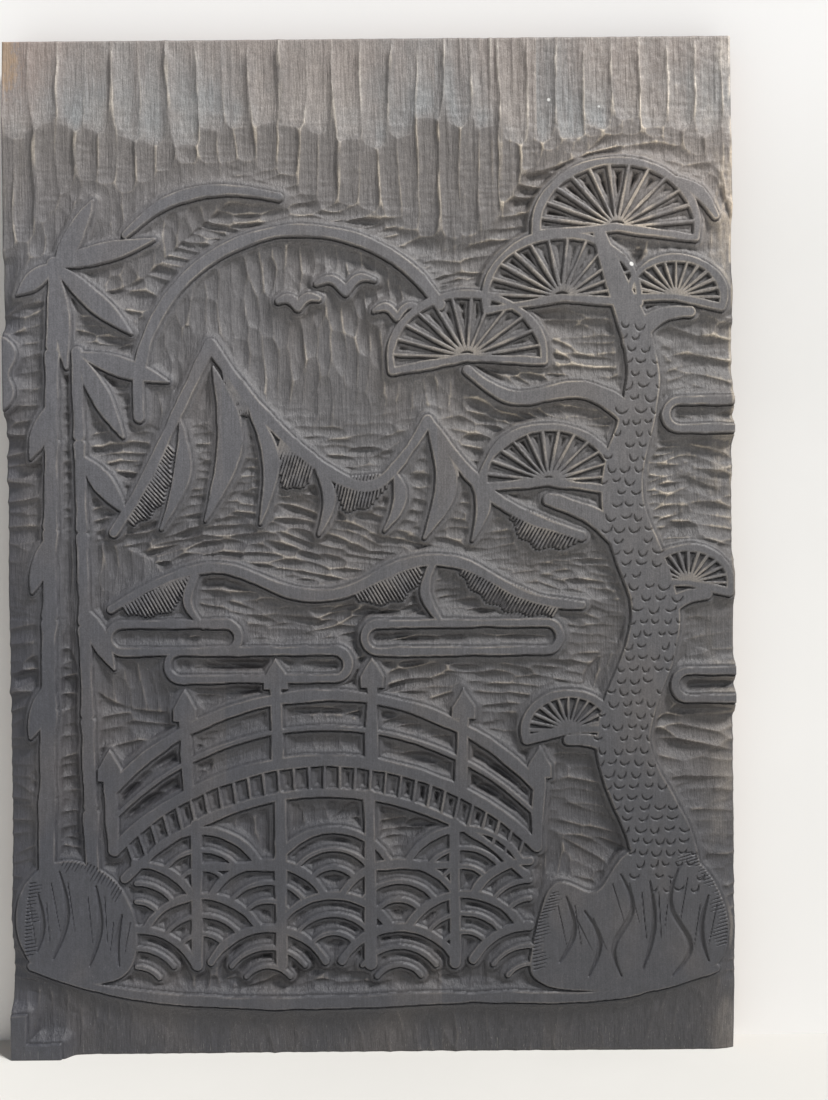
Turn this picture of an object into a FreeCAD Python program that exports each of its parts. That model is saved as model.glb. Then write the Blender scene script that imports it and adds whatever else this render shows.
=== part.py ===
import FreeCAD, Part
import math
import os
import Sketcher

# Woodcut printing block: a board of four edge-glued staves, held in line by hidden bamboo pins.
# Its front is the printing plane. The wood between the lines of the drawing is cleared away.
#
# The frame: the block stands on its foot edge, with +Z up the face and along the grain, +X to the
# viewer's right and the printing plane towards -Y. The origin is the middle of the foot edge.

# Driving dimensions, in millimetres
SIZES = [
    ("face_width", 300.0),
    ("face_height", 420.0),
    ("block_thickness", 22.0),
    ("clearing_depth", 3.0),
    ("line_root_depth", 8.0),
    ("left_outer_stave_width", 90.0),
    ("left_inner_stave_width", 88.0),
    ("right_inner_stave_width", 42.0),
    ("pin_diameter", 4.0),
    ("pin_length", 30.0),
    ("pin_hole_clearance", 0.05),
    ("pin_end_clearance", 1.0),
    ("pin_end_distance", 48.0),
    ("pin_distance_from_back", 8.5),
    ("foot_band_height", 30.0),
    ("foot_band_depth", 6.0),
    ("side_margin_width", 8.0),
    ("side_margin_depth", 5.0),
    ("flute_height", 48.0),
    ("flute_depth", 5.6),
    ("flute_pitch", 11.4),
    ("flute_radius", 16.0),
    ("bold_line", 4.6),
    ("medium_line", 3.2),
    ("pointed_end", 0.9),
    ("curve_fit", 0.4),
    ("corner_stop_width", 20.5),
    ("corner_stop_height", 18.5),
    ("corner_stop_leg", 6.5),
    ("overrun", 2.0),
]
PINS_PER_JOINT = 2

doc = FreeCAD.newDocument("printing_block")
sheet = doc.addObject("Spreadsheet::Sheet", "Sizes")
for row, (alias, value) in enumerate(SIZES, start=1):
    sheet.set(f"A{row}", alias)
    sheet.set(f"B{row}", str(value))
    sheet.setAlias(f"B{row}", alias)
doc.recompute()


def size(alias):
    """The number in the sheet's cell of this name."""
    return float(sheet.get(alias))


def origin_feature(body, role):
    """A body's own origin plane or axis."""
    return next(feature for feature in body.Origin.OriginFeatures if feature.Role == role)


def bind(thing, **expressions):
    """Bind properties of a document object to expressions on the sheet."""
    for name, expression in expressions.items():
        thing.setExpression(name, expression)


WIDTH = size("face_width")
HEIGHT = size("face_height")
PRINTING_PLANE = -size("block_thickness") / 2
BACK = size("block_thickness") / 2
CLEARED_PLANE = PRINTING_PLANE + size("clearing_depth")


# The board, with the ground cleared between the lines

def profile_sketch(body, name, plane_role, corners, closed_shape_count=1):
    """A sketch of closed polygons; each corner holds the two expressions that place it."""
    sketch = body.newObject("Sketcher::SketchObject", name)
    sketch.AttachmentSupport = [(origin_feature(body, plane_role), "")]
    sketch.MapMode = "FlatFace"
    per_shape = len(corners) // closed_shape_count
    for shape in range(closed_shape_count):
        first = shape * per_shape
        values = [FreeCAD.Vector(across[0], up[0], 0) for across, up in corners[first:first + per_shape]]
        for index in range(per_shape):
            end = values[(index + 1) % per_shape]
            sketch.addGeometry(Part.LineSegment(values[index], end))
        for index in range(per_shape):
            following = first + (index + 1) % per_shape
            sketch.addConstraint(Sketcher.Constraint("Coincident", first + index, 2, following, 1))
    for index, corner in enumerate(corners):
        for kind, (value, expression) in zip(("DistanceX", "DistanceY"), corner):
            number = sketch.addConstraint(Sketcher.Constraint(kind, index, 1, value))
            if expression:
                sketch.setExpression(f"Constraints[{number}]", expression)
    return sketch


board = doc.addObject("PartDesign::Body", "cleared_board")

back = (BACK, "Sizes.block_thickness / 2")
foot = (0.0, "")
top = (HEIGHT, "Sizes.face_height")
cleared = (CLEARED_PLANE, "Sizes.clearing_depth - Sizes.block_thickness / 2")
foot_floor = (PRINTING_PLANE + size("foot_band_depth"),
              "Sizes.foot_band_depth - Sizes.block_thickness / 2")
band_top = (size("foot_band_height"), "Sizes.foot_band_height")
side_view = profile_sketch(board, "side_view", "YZ_Plane", [
    (back, foot), (back, top), (cleared, top), (cleared, band_top), (foot_floor, foot)])
slab = board.newObject("PartDesign::Pad", "slab")
slab.Profile = side_view
slab.SideType = "Symmetric"
bind(slab, Length="Sizes.face_width")
doc.recompute()

# Both side margins slope down to the edge.
above = (CLEARED_PLANE - size("overrun"),
         "Sizes.clearing_depth - Sizes.block_thickness / 2 - Sizes.overrun")
side_floor = (PRINTING_PLANE + size("side_margin_depth"),
              "Sizes.side_margin_depth - Sizes.block_thickness / 2")
margin_corners = []
for side, sign in ((-1, "-"), (1, "")):
    edge = (side * WIDTH / 2, f"{sign}Sizes.face_width / 2")
    inner = (side * (WIDTH / 2 - size("side_margin_width")),
             f"{sign}(Sizes.face_width / 2 - Sizes.side_margin_width)")
    margin_corners += [(edge, side_floor), (inner, cleared), (inner, above), (edge, above)]
margin_view = profile_sketch(board, "margin_view", "XY_Plane", margin_corners, closed_shape_count=2)
margins = board.newObject("PartDesign::Pocket", "side_margins")
margins.Profile = margin_view
margins.Type = "ThroughAll"
margins.SideType = "Symmetric"
doc.recompute()
assert margins.Shape.Volume < slab.Shape.Volume


# Gouge flutes across the top start in the cleared plane and deepen up the grain to the top edge.
flute_deepening = size("flute_depth") - size("clearing_depth")
flute_slope = math.degrees(math.atan2(flute_deepening, size("flute_height")))
gouge = board.newObject("PartDesign::SubtractiveCylinder", "gouge")
bind(gouge, Radius="Sizes.flute_radius", Height="Sizes.flute_height + Sizes.overrun")
first_flute = (size("flute_pitch") - WIDTH) / 2
low_end = FreeCAD.Vector(first_flute, CLEARED_PLANE - size("flute_radius"), HEIGHT - size("flute_height"))
gouge.Placement = FreeCAD.Placement(low_end, FreeCAD.Rotation(FreeCAD.Vector(1, 0, 0), -flute_slope))
flutes = board.newObject("PartDesign::LinearPattern", "flutes")
flutes.Originals = [gouge]
flutes.Direction = (origin_feature(board, "X_Axis"), [""])
flutes.Occurrences = math.ceil(WIDTH / size("flute_pitch"))
bind(flutes, Length="Sizes.flute_pitch * (ceil(Sizes.face_width / Sizes.flute_pitch) - 1)")
board.Tip = flutes
doc.recompute()
assert flutes.Shape.Volume < margins.Shape.Volume


# The drawing: raised lines on a grid of 100 columns across the face and 140 rows up it.
# Every place in it is a share of that grid, counted in columns and rows.
GRID_COLUMNS = 100
GRID_ROWS = 140
TAPER_SHARE = 0.35

raised_faces = []


def on_grid(column, row):
    """The point of the printing plane at a place on the drawing's grid."""
    return FreeCAD.Vector((column / GRID_COLUMNS - 0.5) * WIDTH, PRINTING_PLANE, row / GRID_ROWS * HEIGHT)


def curve_through(points, closed=False):
    """Edges of a smooth curve through points, as tangent arcs, or a straight edge between two."""
    if len(points) == 2:
        return [Part.makeLine(*points)]
    curve = Part.BSplineCurve()
    curve.interpolate(points, PeriodicFlag=closed)
    return [arc.toShape() for arc in curve.toBiArcs(size("curve_fit"))]


def swelling_line(places, widths):
    """Raise a line along places of the grid that has the given width at each."""
    points = [on_grid(*place) for place in places]
    left = []
    right = []
    for index, (point, width) in enumerate(zip(points, widths)):
        along = points[min(index + 1, len(points) - 1)] - points[max(index - 1, 0)]
        across = FreeCAD.Vector(-along.z, 0, along.x).normalize() * (width / 2)
        left.append(point + across)
        right.insert(0, point - across)
    edges = curve_through(left) + [Part.makeLine(left[-1], right[0])]
    edges += curve_through(right) + [Part.makeLine(right[-1], left[0])]
    raised_faces.append(Part.Face(Part.Wire(edges)))


def line(weight, places, start_share=1.0, end_share=1.0):
    """Raise a line of one weight whose ends may thin to a share of it."""
    widths = []
    for index in range(len(places)):
        along = index / (len(places) - 1)
        from_start = min(1.0, along / TAPER_SHARE)
        from_end = min(1.0, (1 - along) / TAPER_SHARE)
        start_width = start_share + (1 - start_share) * from_start
        end_width = end_share + (1 - end_share) * from_end
        widths.append(size(weight) * min(start_width, end_width))
    swelling_line(places, widths)


def arc_line(weight, places):
    """Raise a line of even width along the arc of a circle through three places."""
    points = [on_grid(*place) for place in places]
    centre = Part.Arc(*points).toShape().Curve.Center
    sides = []
    for side in (1, -1):
        offset = side * size(weight) / 2
        sides.append([point + (point - centre).normalize() * offset for point in points])
    outer, inner = sides
    inner.reverse()
    edges = [Part.Arc(*outer).toShape(), Part.makeLine(outer[-1], inner[0]),
             Part.Arc(*inner).toShape(), Part.makeLine(inner[-1], outer[0])]
    raised_faces.append(Part.Face(Part.Wire(edges)))


def black_shape(places, smooth=True):
    """Raise a closed shape through places of the grid."""
    points = [on_grid(*place) for place in places]
    if smooth:
        outline = Part.Wire(curve_through(points, closed=True))
    else:
        outline = Part.makePolygon(points + points[:1])
    raised_faces.append(Part.Face(outline))


def on_arc(centre, radius, degrees, height_share=1.0):
    """The place on a circle, or on one flattened to a share of its height."""
    turn = math.radians(degrees)
    return centre[0] + radius * math.cos(turn), centre[1] + height_share * radius * math.sin(turn)


def arc_places(centre, radius, start, end, count, height_share=1.0):
    """Evenly spaced places along an arc, from one angle to another."""
    steps = [start + (end - start) * index / (count - 1) for index in range(count)]
    return [on_arc(centre, radius, degrees, height_share) for degrees in steps]


def bow(half_span, rise, middle, foot_row, share):
    """The place at a share of the way along a shallow arch that rises between two equal feet."""
    radius = (half_span ** 2 + rise ** 2) / (2 * rise)
    half_turn = math.asin(half_span / radius)
    turn = half_turn * (2 * share - 1)
    return middle + radius * math.sin(turn), foot_row + rise - radius * (1 - math.cos(turn))


def moon_and_mountains():
    """The moon behind a ridge with two peaks, black gullies and a lower ridge in front."""
    moon_centre_share = (41, 91)
    moon_radius_share = 22.5
    arc_line("bold_line", arc_places(moon_centre_share, moon_radius_share, 33, 187, 3))
    ridge_shares = [
        ([(15, 72.5), (18.5, 78), (23, 87), (28.5, 98)], 0.7, 1.0),
        ([(28.5, 98), (33, 91.5), (39, 85), (44.5, 80.5), (50, 78.5), (54, 81.5), (58, 87.5)], 1.0, 0.9),
        ([(58, 87.5), (62.5, 81.5), (68, 76.2), (79, 71.5)], 0.9, 0.8),
        ([(14.5, 62), (22, 66), (30, 67.5), (38, 64.5), (46, 64), (54, 67.5), (62, 68), (71, 63.5),
          (79, 62)], 0.6, 0.7),
    ]
    for places, start_share, end_share in ridge_shares:
        line("bold_line", places, start_share, end_share)
    gully_shares = [
        ((28.8, 95), (31, 86), (27.5, 74), 2.2),
        ((33.5, 90), (36.5, 83), (35, 73.5), 1.4),
        ((24.2, 88), (24.5, 81), (21.5, 73), 1.5),
        ((42.5, 81.5), (44.5, 77.5), (43, 72), 1.1),
        ((58.3, 86), (60.5, 79.5), (57.5, 71.5), 1.9),
    ]
    for top_place, middle_place, low_place, width_share in gully_shares:
        swelling_line([top_place, middle_place, low_place],
                      [size("pointed_end"), size("bold_line") * width_share, size("pointed_end")])


def mist():
    """Bars of mist with round ends, in pairs that overlap."""
    bar_shares = [(16, 30, 58), (24, 45, 54.2), (51, 74, 57.8)]
    half_height_share = 1.9
    for start, end, row in bar_shares:
        for side in (1, -1):
            line("medium_line", [(start, row + side * half_height_share),
                                 (end, row + side * half_height_share)])
        arc_line("medium_line", arc_places((start, row), half_height_share, 90, 270, 3))
        arc_line("medium_line", arc_places((end, row), half_height_share, -90, 90, 3))


def bridge():
    """An arched footbridge: deck, beam below it, rail on posts with pointed caps, and piers."""
    middle_share = 43.5
    deck_shares = (29, 12, middle_share, 29)
    beam_shares = (27.5, 11.6, middle_share, 25)
    rail_shares = (29.5, 13, middle_share, 37)
    for weight, shares in (("bold_line", deck_shares), ("medium_line", beam_shares),
                           ("bold_line", rail_shares)):
        arc_line(weight, [bow(*shares, share) for share in (0, 0.5, 1)])
    post_count = 6
    cap_shares = [(-1.6, 1.4), (-1.6, 3), (0, 5.6), (1.6, 3), (1.6, 1.4)]
    for post in range(post_count):
        foot_place = bow(*deck_shares, post / (post_count - 1))
        head = bow(*rail_shares, post / (post_count - 1))
        line("bold_line", [foot_place, (head[0], head[1] + cap_shares[0][1])])
        black_shape([(head[0] + across, head[1] + up) for across, up in cap_shares], smooth=False)
    pier_foot_share = 13
    pier_shares = (0.2, 0.4, 0.6, 0.8)
    for share in pier_shares:
        head = bow(*beam_shares, share)
        line("bold_line", [head, (head[0], pier_foot_share)])
    tie_row_share = 26.5
    for left_share, right_share in (pier_shares[:2], pier_shares[2:]):
        left_pier = bow(*beam_shares, left_share)
        right_pier = bow(*beam_shares, right_share)
        line("medium_line", [(left_pier[0], tie_row_share), (right_pier[0], tie_row_share)])


def waves():
    """Rows of scale waves between the rocks; each row stands half a scale off the next."""
    radius_share = 9
    first_column_share = 26.5
    lowest_row_share = 9
    row_count = 4
    hidden = 29.4
    for row in range(row_count):
        level = lowest_row_share + (row_count - 1 - row) * radius_share / 2
        shifted = row % 2
        for scale in range(3 + shifted):
            column = first_column_share + (2 * scale - shifted) * radius_share
            start = 90 if shifted and scale == 0 else 180 - hidden
            end = 90 if shifted and scale == 3 else hidden
            arc_line("medium_line", arc_places((column, level), radius_share, start, end, 3))
    shore_shares = [(3, 13), (12, 10), (24, 8.2), (38, 7.6), (54, 8), (68, 8.2), (84, 8.6), (97, 12)]
    line("bold_line", shore_shares, 0.7, 0.7)


def rocks():
    """The black rocks that the bamboo and the pine grow from."""
    left_rock_shares = [(2.6, 14), (2.8, 25), (8, 27.5), (14, 25), (17.5, 18), (16, 12), (9, 10.5)]
    right_rock_shares = [(72, 11), (72.5, 18), (76, 24), (80, 22.5), (84, 27), (92, 28), (97.3, 23),
                         (97.5, 13), (90, 9.5), (80, 9)]
    black_shape(left_rock_shares)
    black_shape(right_rock_shares)


def bamboo():
    """Two jointed canes that thin as they rise, with leaves."""
    cane_shares = [((5.2, 24), (7.2, 110), 7, 1.4), ((11.6, 22), (10.2, 98), 6, 1.2)]
    segment_shares = (0.03, 0.93)
    thinning_share = 0.35
    for foot_place, head, count, width_share in cane_shares:
        for segment in range(count):
            width = size("bold_line") * width_share * (1 - thinning_share * segment / count)
            places = []
            for share in segment_shares:
                along = (segment + share) / count
                places.append(tuple(a + (b - a) * along for a, b in zip(foot_place, head)))
            swelling_line(places, [width, width])
    leaf_shares = [
        (7.3, 109, (-84, -42, 14), 14), (7.2, 109, (-142,), 6.5), (7.4, 108, (62,), 11),
        (10.3, 97, (-18, -62), 13), (10.6, 83, (-52,), 10), (6.2, 72, (-108,), 8),
    ]
    half_width_shares = [(0.0, 0.25), (0.45, 1.3), (1.0, 0.15)]
    for column, row, directions, length in leaf_shares:
        for degrees in directions:
            turn = math.radians(degrees)
            places = [(column + length * along * math.cos(turn), row + length * along * math.sin(turn))
                      for along, half in half_width_shares]
            swelling_line(places, [2 * half * WIDTH / GRID_COLUMNS for along, half in half_width_shares])


def pine():
    """A leaning pine: trunk and branches that thin, and fans of needles drawn in outline."""
    limb_shares = [
        ([(88, 14), (90, 28), (84.5, 43), (89, 60), (84.5, 77), (87.5, 93), (84, 106), (81.5, 113)],
         [6.7, 5.7, 4.8, 4.3, 3.7, 2.8, 2.0, 1.1]),
        ([(85.5, 70), (80, 74.5), (74.5, 76.5)], [2.2, 1.5, 1.0]),
        ([(86.5, 87), (79, 91.5), (70, 90.5), (63.5, 94.3)], [2.0, 1.5, 1.1, 0.8]),
        ([(86, 98), (90, 101.5), (94, 102)], [1.7, 1.3, 0.9]),
    ]
    for places, width_shares in limb_shares:
        swelling_line(places, [size("bold_line") * share for share in width_shares])
    fan_shares = [
        (74.5, 79, 9.0, -2), (63.5, 96, 10.5, 4), (76.5, 104, 10.5, 3), (92, 104, 6.5, -8),
        (84, 113.5, 11, -2),
    ]
    half_spread = 98
    flat_share = 0.82
    for column, row, radius, tilt in fan_shares:
        rim = arc_places((column, row), radius, 90 + half_spread + tilt, 90 - half_spread + tilt, 3,
                         flat_share)
        arc_line("medium_line", rim)
        for end in (rim[0], rim[-1]):
            line("medium_line", [end, (column, row)])


def clouds():
    """Two sweeps of cloud under the cleared band."""
    sweep_shares = [
        [(17, 113), (22, 117), (30, 119), (38, 118)],
        [(97.5, 115), (94.8, 118.5), (91.5, 120)],
    ]
    thin_share = 0.6
    for places in sweep_shares:
        line("bold_line", places, thin_share, thin_share)


def paper_stops():
    """The raised corner that the paper is laid against, and a rest of uncut edge on the left."""
    left = -WIDTH / 2
    leg = size("corner_stop_leg")
    corners = [(left, 0), (left + size("corner_stop_width"), 0), (left + size("corner_stop_width"), leg),
               (left + leg, leg), (left + leg, size("corner_stop_height")),
               (left, size("corner_stop_height"))]
    points = [FreeCAD.Vector(x, PRINTING_PLANE, z) for x, z in corners]
    raised_faces.append(Part.Face(Part.makePolygon(points + points[:1])))
    uncut_edge_shares = [(0, 89.5), (2.2, 91), (2.6, 95), (1.8, 98), (0, 98.5)]
    black_shape(uncut_edge_shares, smooth=False)


for draw in (moon_and_mountains, mist, bridge, waves, rocks, bamboo, pine, clouds, paper_stops):
    draw()

outlines = raised_faces[0].multiFuse(raised_faces[1:])
drawing = doc.addObject("Part::Feature", "drawing")
drawing.Shape = Part.makeShell(outlines.Faces).removeSplitter()
lines = doc.addObject("Part::Extrusion", "raised_lines")
lines.Base = drawing
lines.DirMode = "Custom"
lines.Dir = FreeCAD.Vector(0, 1, 0)
lines.Solid = True
bind(lines, LengthFwd="Sizes.line_root_depth")
carved_board = doc.addObject("Part::Fuse", "carved_board")
carved_board.Base = board
carved_board.Tool = lines


# The staves and the pins between them

def pin(name, diameter, length, joint, height):
    """A round pin across a joint, from a diameter and a length on the sheet."""
    rod = doc.addObject("Part::Cylinder", name)
    bind(rod, Radius=f"({diameter}) / 2", Height=length)
    rod.Placement = FreeCAD.Placement(FreeCAD.Vector(0, 0, 0), FreeCAD.Rotation(FreeCAD.Vector(0, 1, 0), 90))
    rod.setExpression("Placement.Base.x", f"{joint} - ({length}) / 2")
    rod.setExpression("Placement.Base.y", "Sizes.block_thickness / 2 - Sizes.pin_distance_from_back")
    rod.setExpression("Placement.Base.z", height)
    return rod


JOINTS = {
    "left_joint": "Sizes.left_outer_stave_width - Sizes.face_width / 2",
    "middle_joint": "Sizes.left_outer_stave_width + Sizes.left_inner_stave_width - Sizes.face_width / 2",
    "right_joint": ("Sizes.left_outer_stave_width + Sizes.left_inner_stave_width"
                    " + Sizes.right_inner_stave_width - Sizes.face_width / 2"),
}
pin_holes = doc.addObject("Part::Compound", "pin_holes")
holes = []
pin_sets = []
for joint_name, joint in JOINTS.items():
    pins = []
    for number in range(PINS_PER_JOINT):
        share = number / (PINS_PER_JOINT - 1)
        height = f"Sizes.pin_end_distance + (Sizes.face_height - 2 * Sizes.pin_end_distance) * {share}"
        pins.append(pin(f"{joint_name}_pin_{number + 1}", "Sizes.pin_diameter", "Sizes.pin_length",
                        joint, height))
        holes.append(pin(f"{joint_name}_hole_{number + 1}",
                         "Sizes.pin_diameter + 2 * Sizes.pin_hole_clearance",
                         "Sizes.pin_length + 2 * Sizes.pin_end_clearance", joint, height))
    pin_set = doc.addObject("Part::Compound", joint_name + "_pins")
    pin_set.Links = pins
    pin_sets.append(pin_set)
pin_holes.Links = holes
drilled_board = doc.addObject("Part::Cut", "drilled_board")
drilled_board.Base = carved_board
drilled_board.Tool = pin_holes

edges = ["-Sizes.face_width / 2 - Sizes.overrun"] + list(JOINTS.values())
edges.append("Sizes.face_width / 2 + Sizes.overrun")
staves = []
stave_names = ("left_outer_stave", "left_inner_stave", "right_inner_stave", "right_outer_stave")
for number, name in enumerate(stave_names):
    span = doc.addObject("Part::Box", name + "_span")
    bind(span, Length=f"({edges[number + 1]}) - ({edges[number]})",
         Width="Sizes.block_thickness + 2 * Sizes.overrun",
         Height="Sizes.face_height + 2 * Sizes.overrun")
    span.setExpression("Placement.Base.x", edges[number])
    span.setExpression("Placement.Base.y", "-Sizes.block_thickness / 2 - Sizes.overrun")
    span.setExpression("Placement.Base.z", "-Sizes.overrun")
    stave = doc.addObject("Part::Common", name)
    stave.Base = drilled_board
    stave.Tool = span
    staves.append(stave)
doc.recompute()

for thing in doc.Objects:
    if "Invalid" in thing.State or "Error" in thing.State:
        raise RuntimeError(f"{thing.Name} failed: {thing.State}")
os.makedirs("parts", exist_ok=True)
for node in staves + pin_sets:
    node.Label = node.Name
    if node.Shape.isNull() or not node.Shape.isValid():
        raise RuntimeError(f"{node.Label} has no valid shape")
for node in staves + pin_sets:
    node.Shape.exportStep(f"parts/{node.Label}.step")
    print(node.Label, len(node.Shape.Solids), "solids", round(node.Shape.Volume / 1000, 1), "cm3")
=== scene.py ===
import functools
import math

import bpy
import numpy as np
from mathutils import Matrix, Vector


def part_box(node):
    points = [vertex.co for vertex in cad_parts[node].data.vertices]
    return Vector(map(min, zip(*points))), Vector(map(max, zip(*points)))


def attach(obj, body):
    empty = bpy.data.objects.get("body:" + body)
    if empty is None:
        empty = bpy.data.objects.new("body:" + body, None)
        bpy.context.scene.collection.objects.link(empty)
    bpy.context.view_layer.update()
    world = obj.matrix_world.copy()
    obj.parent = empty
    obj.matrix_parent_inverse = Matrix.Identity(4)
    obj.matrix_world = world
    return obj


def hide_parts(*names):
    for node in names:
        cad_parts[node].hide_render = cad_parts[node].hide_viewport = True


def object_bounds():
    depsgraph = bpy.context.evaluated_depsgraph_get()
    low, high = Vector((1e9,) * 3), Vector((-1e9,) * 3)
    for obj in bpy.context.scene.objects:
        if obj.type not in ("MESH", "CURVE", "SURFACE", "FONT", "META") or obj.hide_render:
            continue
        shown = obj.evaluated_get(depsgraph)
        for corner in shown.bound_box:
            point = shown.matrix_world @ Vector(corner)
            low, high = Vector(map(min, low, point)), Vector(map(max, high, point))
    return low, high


# Woodcut printing block, inked black: four glued staves whose front is one carved relief.
# Lengths are millimetres until a mesh is made; the block stands on its foot edge, face towards -Y.

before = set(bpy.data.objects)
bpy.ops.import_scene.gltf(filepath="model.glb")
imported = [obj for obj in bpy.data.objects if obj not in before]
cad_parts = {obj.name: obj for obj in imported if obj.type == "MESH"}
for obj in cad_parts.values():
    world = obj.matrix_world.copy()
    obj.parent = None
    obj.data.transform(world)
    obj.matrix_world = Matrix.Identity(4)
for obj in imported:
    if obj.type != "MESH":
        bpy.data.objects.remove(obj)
cad_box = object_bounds()

MM = 0.001
STAVES = ("left_outer_stave", "left_inner_stave", "right_inner_stave", "right_outer_stave")
PIN_SETS = ("left_joint_pins", "middle_joint_pins", "right_joint_pins")


def in_mm(metres):
    """A length of the frame, in whole thousandths of a millimetre."""
    return round(metres / MM, 3)


SPANS = [(in_mm(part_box(name)[0].x), in_mm(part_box(name)[1].x)) for name in STAVES]
LEFT, RIGHT = SPANS[0][0], SPANS[-1][1]
FOOT, TOP = in_mm(cad_box[0].z), in_mm(cad_box[1].z)
PRINTING_PLANE, BACK = in_mm(cad_box[0].y), in_mm(cad_box[1].y)
WIDTH = RIGHT - LEFT
HEIGHT = TOP - FOOT

# The face is worked out on a raster; the sides and the back have coarser cells.
CELL = 1 / 3
COARSE_CELL = 2.0
across = LEFT + CELL * np.arange(round(WIDTH / CELL) + 1)
up = FOOT + CELL * np.arange(round(HEIGHT / CELL) + 1)


# Number fields over the face

def smoothstep(low, high, value):
    """0 below low, 1 above high, and a smooth rise between."""
    share = np.clip((value - low) / (high - low), 0, 1)
    return share * share * (3 - 2 * share)


def spline_weights(places, spacing):
    """The weight that each lattice point, a spacing apart, has at each place."""
    count = int((places[-1] - places[0]) / spacing) + 4
    gap = np.abs((places[:, None] - places[0]) / spacing + 1 - np.arange(count))
    near = 2 / 3 - gap ** 2 + gap ** 3 / 2
    far = (2 - np.minimum(gap, 2)) ** 3 / 6
    return np.where(gap < 1, near, far)


def rough(seed, size_across, size_up, places_across=None, places_up=None):
    """Smooth noise of mean 0 and spread 1, with lumps of the given size."""
    places_across = across if places_across is None else places_across
    places_up = up if places_up is None else places_up
    columns = spline_weights(places_across, size_across)
    rows = spline_weights(places_up, size_up)
    lattice = np.random.default_rng(seed).normal(size=(rows.shape[1], columns.shape[1]))
    field = rows @ lattice @ columns.T
    return (field - field.mean()) / field.std()


def window(x_low, x_high, z_low, z_high):
    """The rows and columns of the raster inside a box."""
    columns = slice(*np.searchsorted(across, (x_low, x_high)))
    rows = slice(*np.searchsorted(up, (z_low, z_high)))
    return rows, columns


# Raised lines. A field holds each place's distance from the nearest line, negative on a line.
GRID_COLUMNS = 100
GRID_ROWS = 140
REACH = 13.0
BOLD = 4.6
MEDIUM = 3.2
FINE = 1.7
HAIR = 0.85
POINTED = 0.9
TAPER_SHARE = 0.35
CURVE_STEP = 1.5


def on_grid(place):
    """A place on the drawing's grid in millimetres; a third number, a radius, stays."""
    x = LEFT + place[0] / GRID_COLUMNS * WIDTH
    z = FOOT + place[1] / GRID_ROWS * HEIGHT
    return (x, z, *place[2:])


def smooth_path(points, closed=False):
    """Points about a step apart on a natural cubic spline through rows of numbers."""
    points = np.array(points, float)
    overlap = 3 if closed else 0
    if closed:
        points = np.vstack([points[-overlap:], points, points[:overlap + 1]])
    if len(points) == 2:
        return points
    gaps = np.hypot(*np.diff(points[:, :2], axis=0).T)
    count = len(points)
    system = np.eye(count)
    right_side = np.zeros_like(points)
    slopes = np.diff(points, axis=0) / gaps[:, None]
    for index in range(1, count - 1):
        before, after = gaps[index - 1], gaps[index]
        system[index, index - 1:index + 2] = before, 2 * (before + after), after
        right_side[index] = 6 * (slopes[index] - slopes[index - 1])
    bends = np.linalg.solve(system, right_side)
    path = []
    for index in range(overlap, count - 1 - overlap):
        steps = max(2, math.ceil(gaps[index] / CURVE_STEP))
        share = (np.arange(steps) / steps)[:, None]
        rest = 1 - share
        curve = rest * points[index] + share * points[index + 1]
        curve += gaps[index] ** 2 / 6 * ((rest ** 3 - rest) * bends[index]
                                         + (share ** 3 - share) * bends[index + 1])
        path.append(curve)
    path.append(points[count - 1 - overlap][None])
    return np.vstack(path)


def add_path(field, path):
    """Adds a round-ended line whose rows are x, z and radius."""
    for (x0, z0, r0), (x1, z1, r1) in zip(path[:-1], path[1:]):
        margin = max(r0, r1) + REACH
        rows, columns = window(min(x0, x1) - margin, max(x0, x1) + margin,
                               min(z0, z1) - margin, max(z0, z1) + margin)
        dx, dz = x1 - x0, z1 - z0
        from_x = across[columns] - x0
        from_z = up[rows, None] - z0
        share = np.clip((from_x * dx + from_z * dz) / (dx * dx + dz * dz), 0, 1)
        distance = np.hypot(from_x - share * dx, from_z - share * dz) - r0 - (r1 - r0) * share
        np.minimum(field[rows, columns], distance, out=field[rows, columns])


def add_shape(field, outline):
    """Adds the inside of a closed outline of x and z."""
    outline = np.asarray(outline)[:, :2]
    low, high = outline.min(0) - REACH, outline.max(0) + REACH
    rows, columns = window(low[0], high[0], low[1], high[1])
    x, z = across[columns], up[rows, None]
    distance = np.full((z.size, x.size), REACH)
    inside = np.zeros((z.size, x.size), bool)
    for (x0, z0), (x1, z1) in zip(outline, np.roll(outline, -1, axis=0)):
        dx, dz = x1 - x0, z1 - z0
        if dx == 0 and dz == 0:
            continue
        share = np.clip(((x - x0) * dx + (z - z0) * dz) / (dx * dx + dz * dz), 0, 1)
        distance = np.minimum(distance, np.hypot(x - x0 - share * dx, z - z0 - share * dz))
        if dz != 0:
            crossed = (z >= min(z0, z1)) & (z < max(z0, z1))
            inside ^= crossed & (x < x0 + (z - z0) / dz * dx)
    distance = np.where(inside, -distance, distance)
    np.minimum(field[rows, columns], distance, out=field[rows, columns])


def swelling_line(field, places, widths):
    """Draws a line through places of the grid that has the given width at each."""
    points = [(*on_grid(place), width / 2) for place, width in zip(places, widths)]
    path = smooth_path(points)
    add_path(field, path)


def line(field, weight, places, start_share=1.0, end_share=1.0):
    """Draws a line of one weight whose ends may thin to a share of it."""
    widths = []
    for index in range(len(places)):
        along = index / (len(places) - 1)
        start_width = start_share + (1 - start_share) * min(1.0, along / TAPER_SHARE)
        end_width = end_share + (1 - end_share) * min(1.0, (1 - along) / TAPER_SHARE)
        widths.append(weight * min(start_width, end_width))
    swelling_line(field, places, widths)


def on_arc(centre, radius, degrees, height_share=1.0):
    """The place on a circle, or on one flattened to a share of its height."""
    turn = math.radians(degrees)
    return centre[0] + radius * math.cos(turn), centre[1] + height_share * radius * math.sin(turn)


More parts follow.
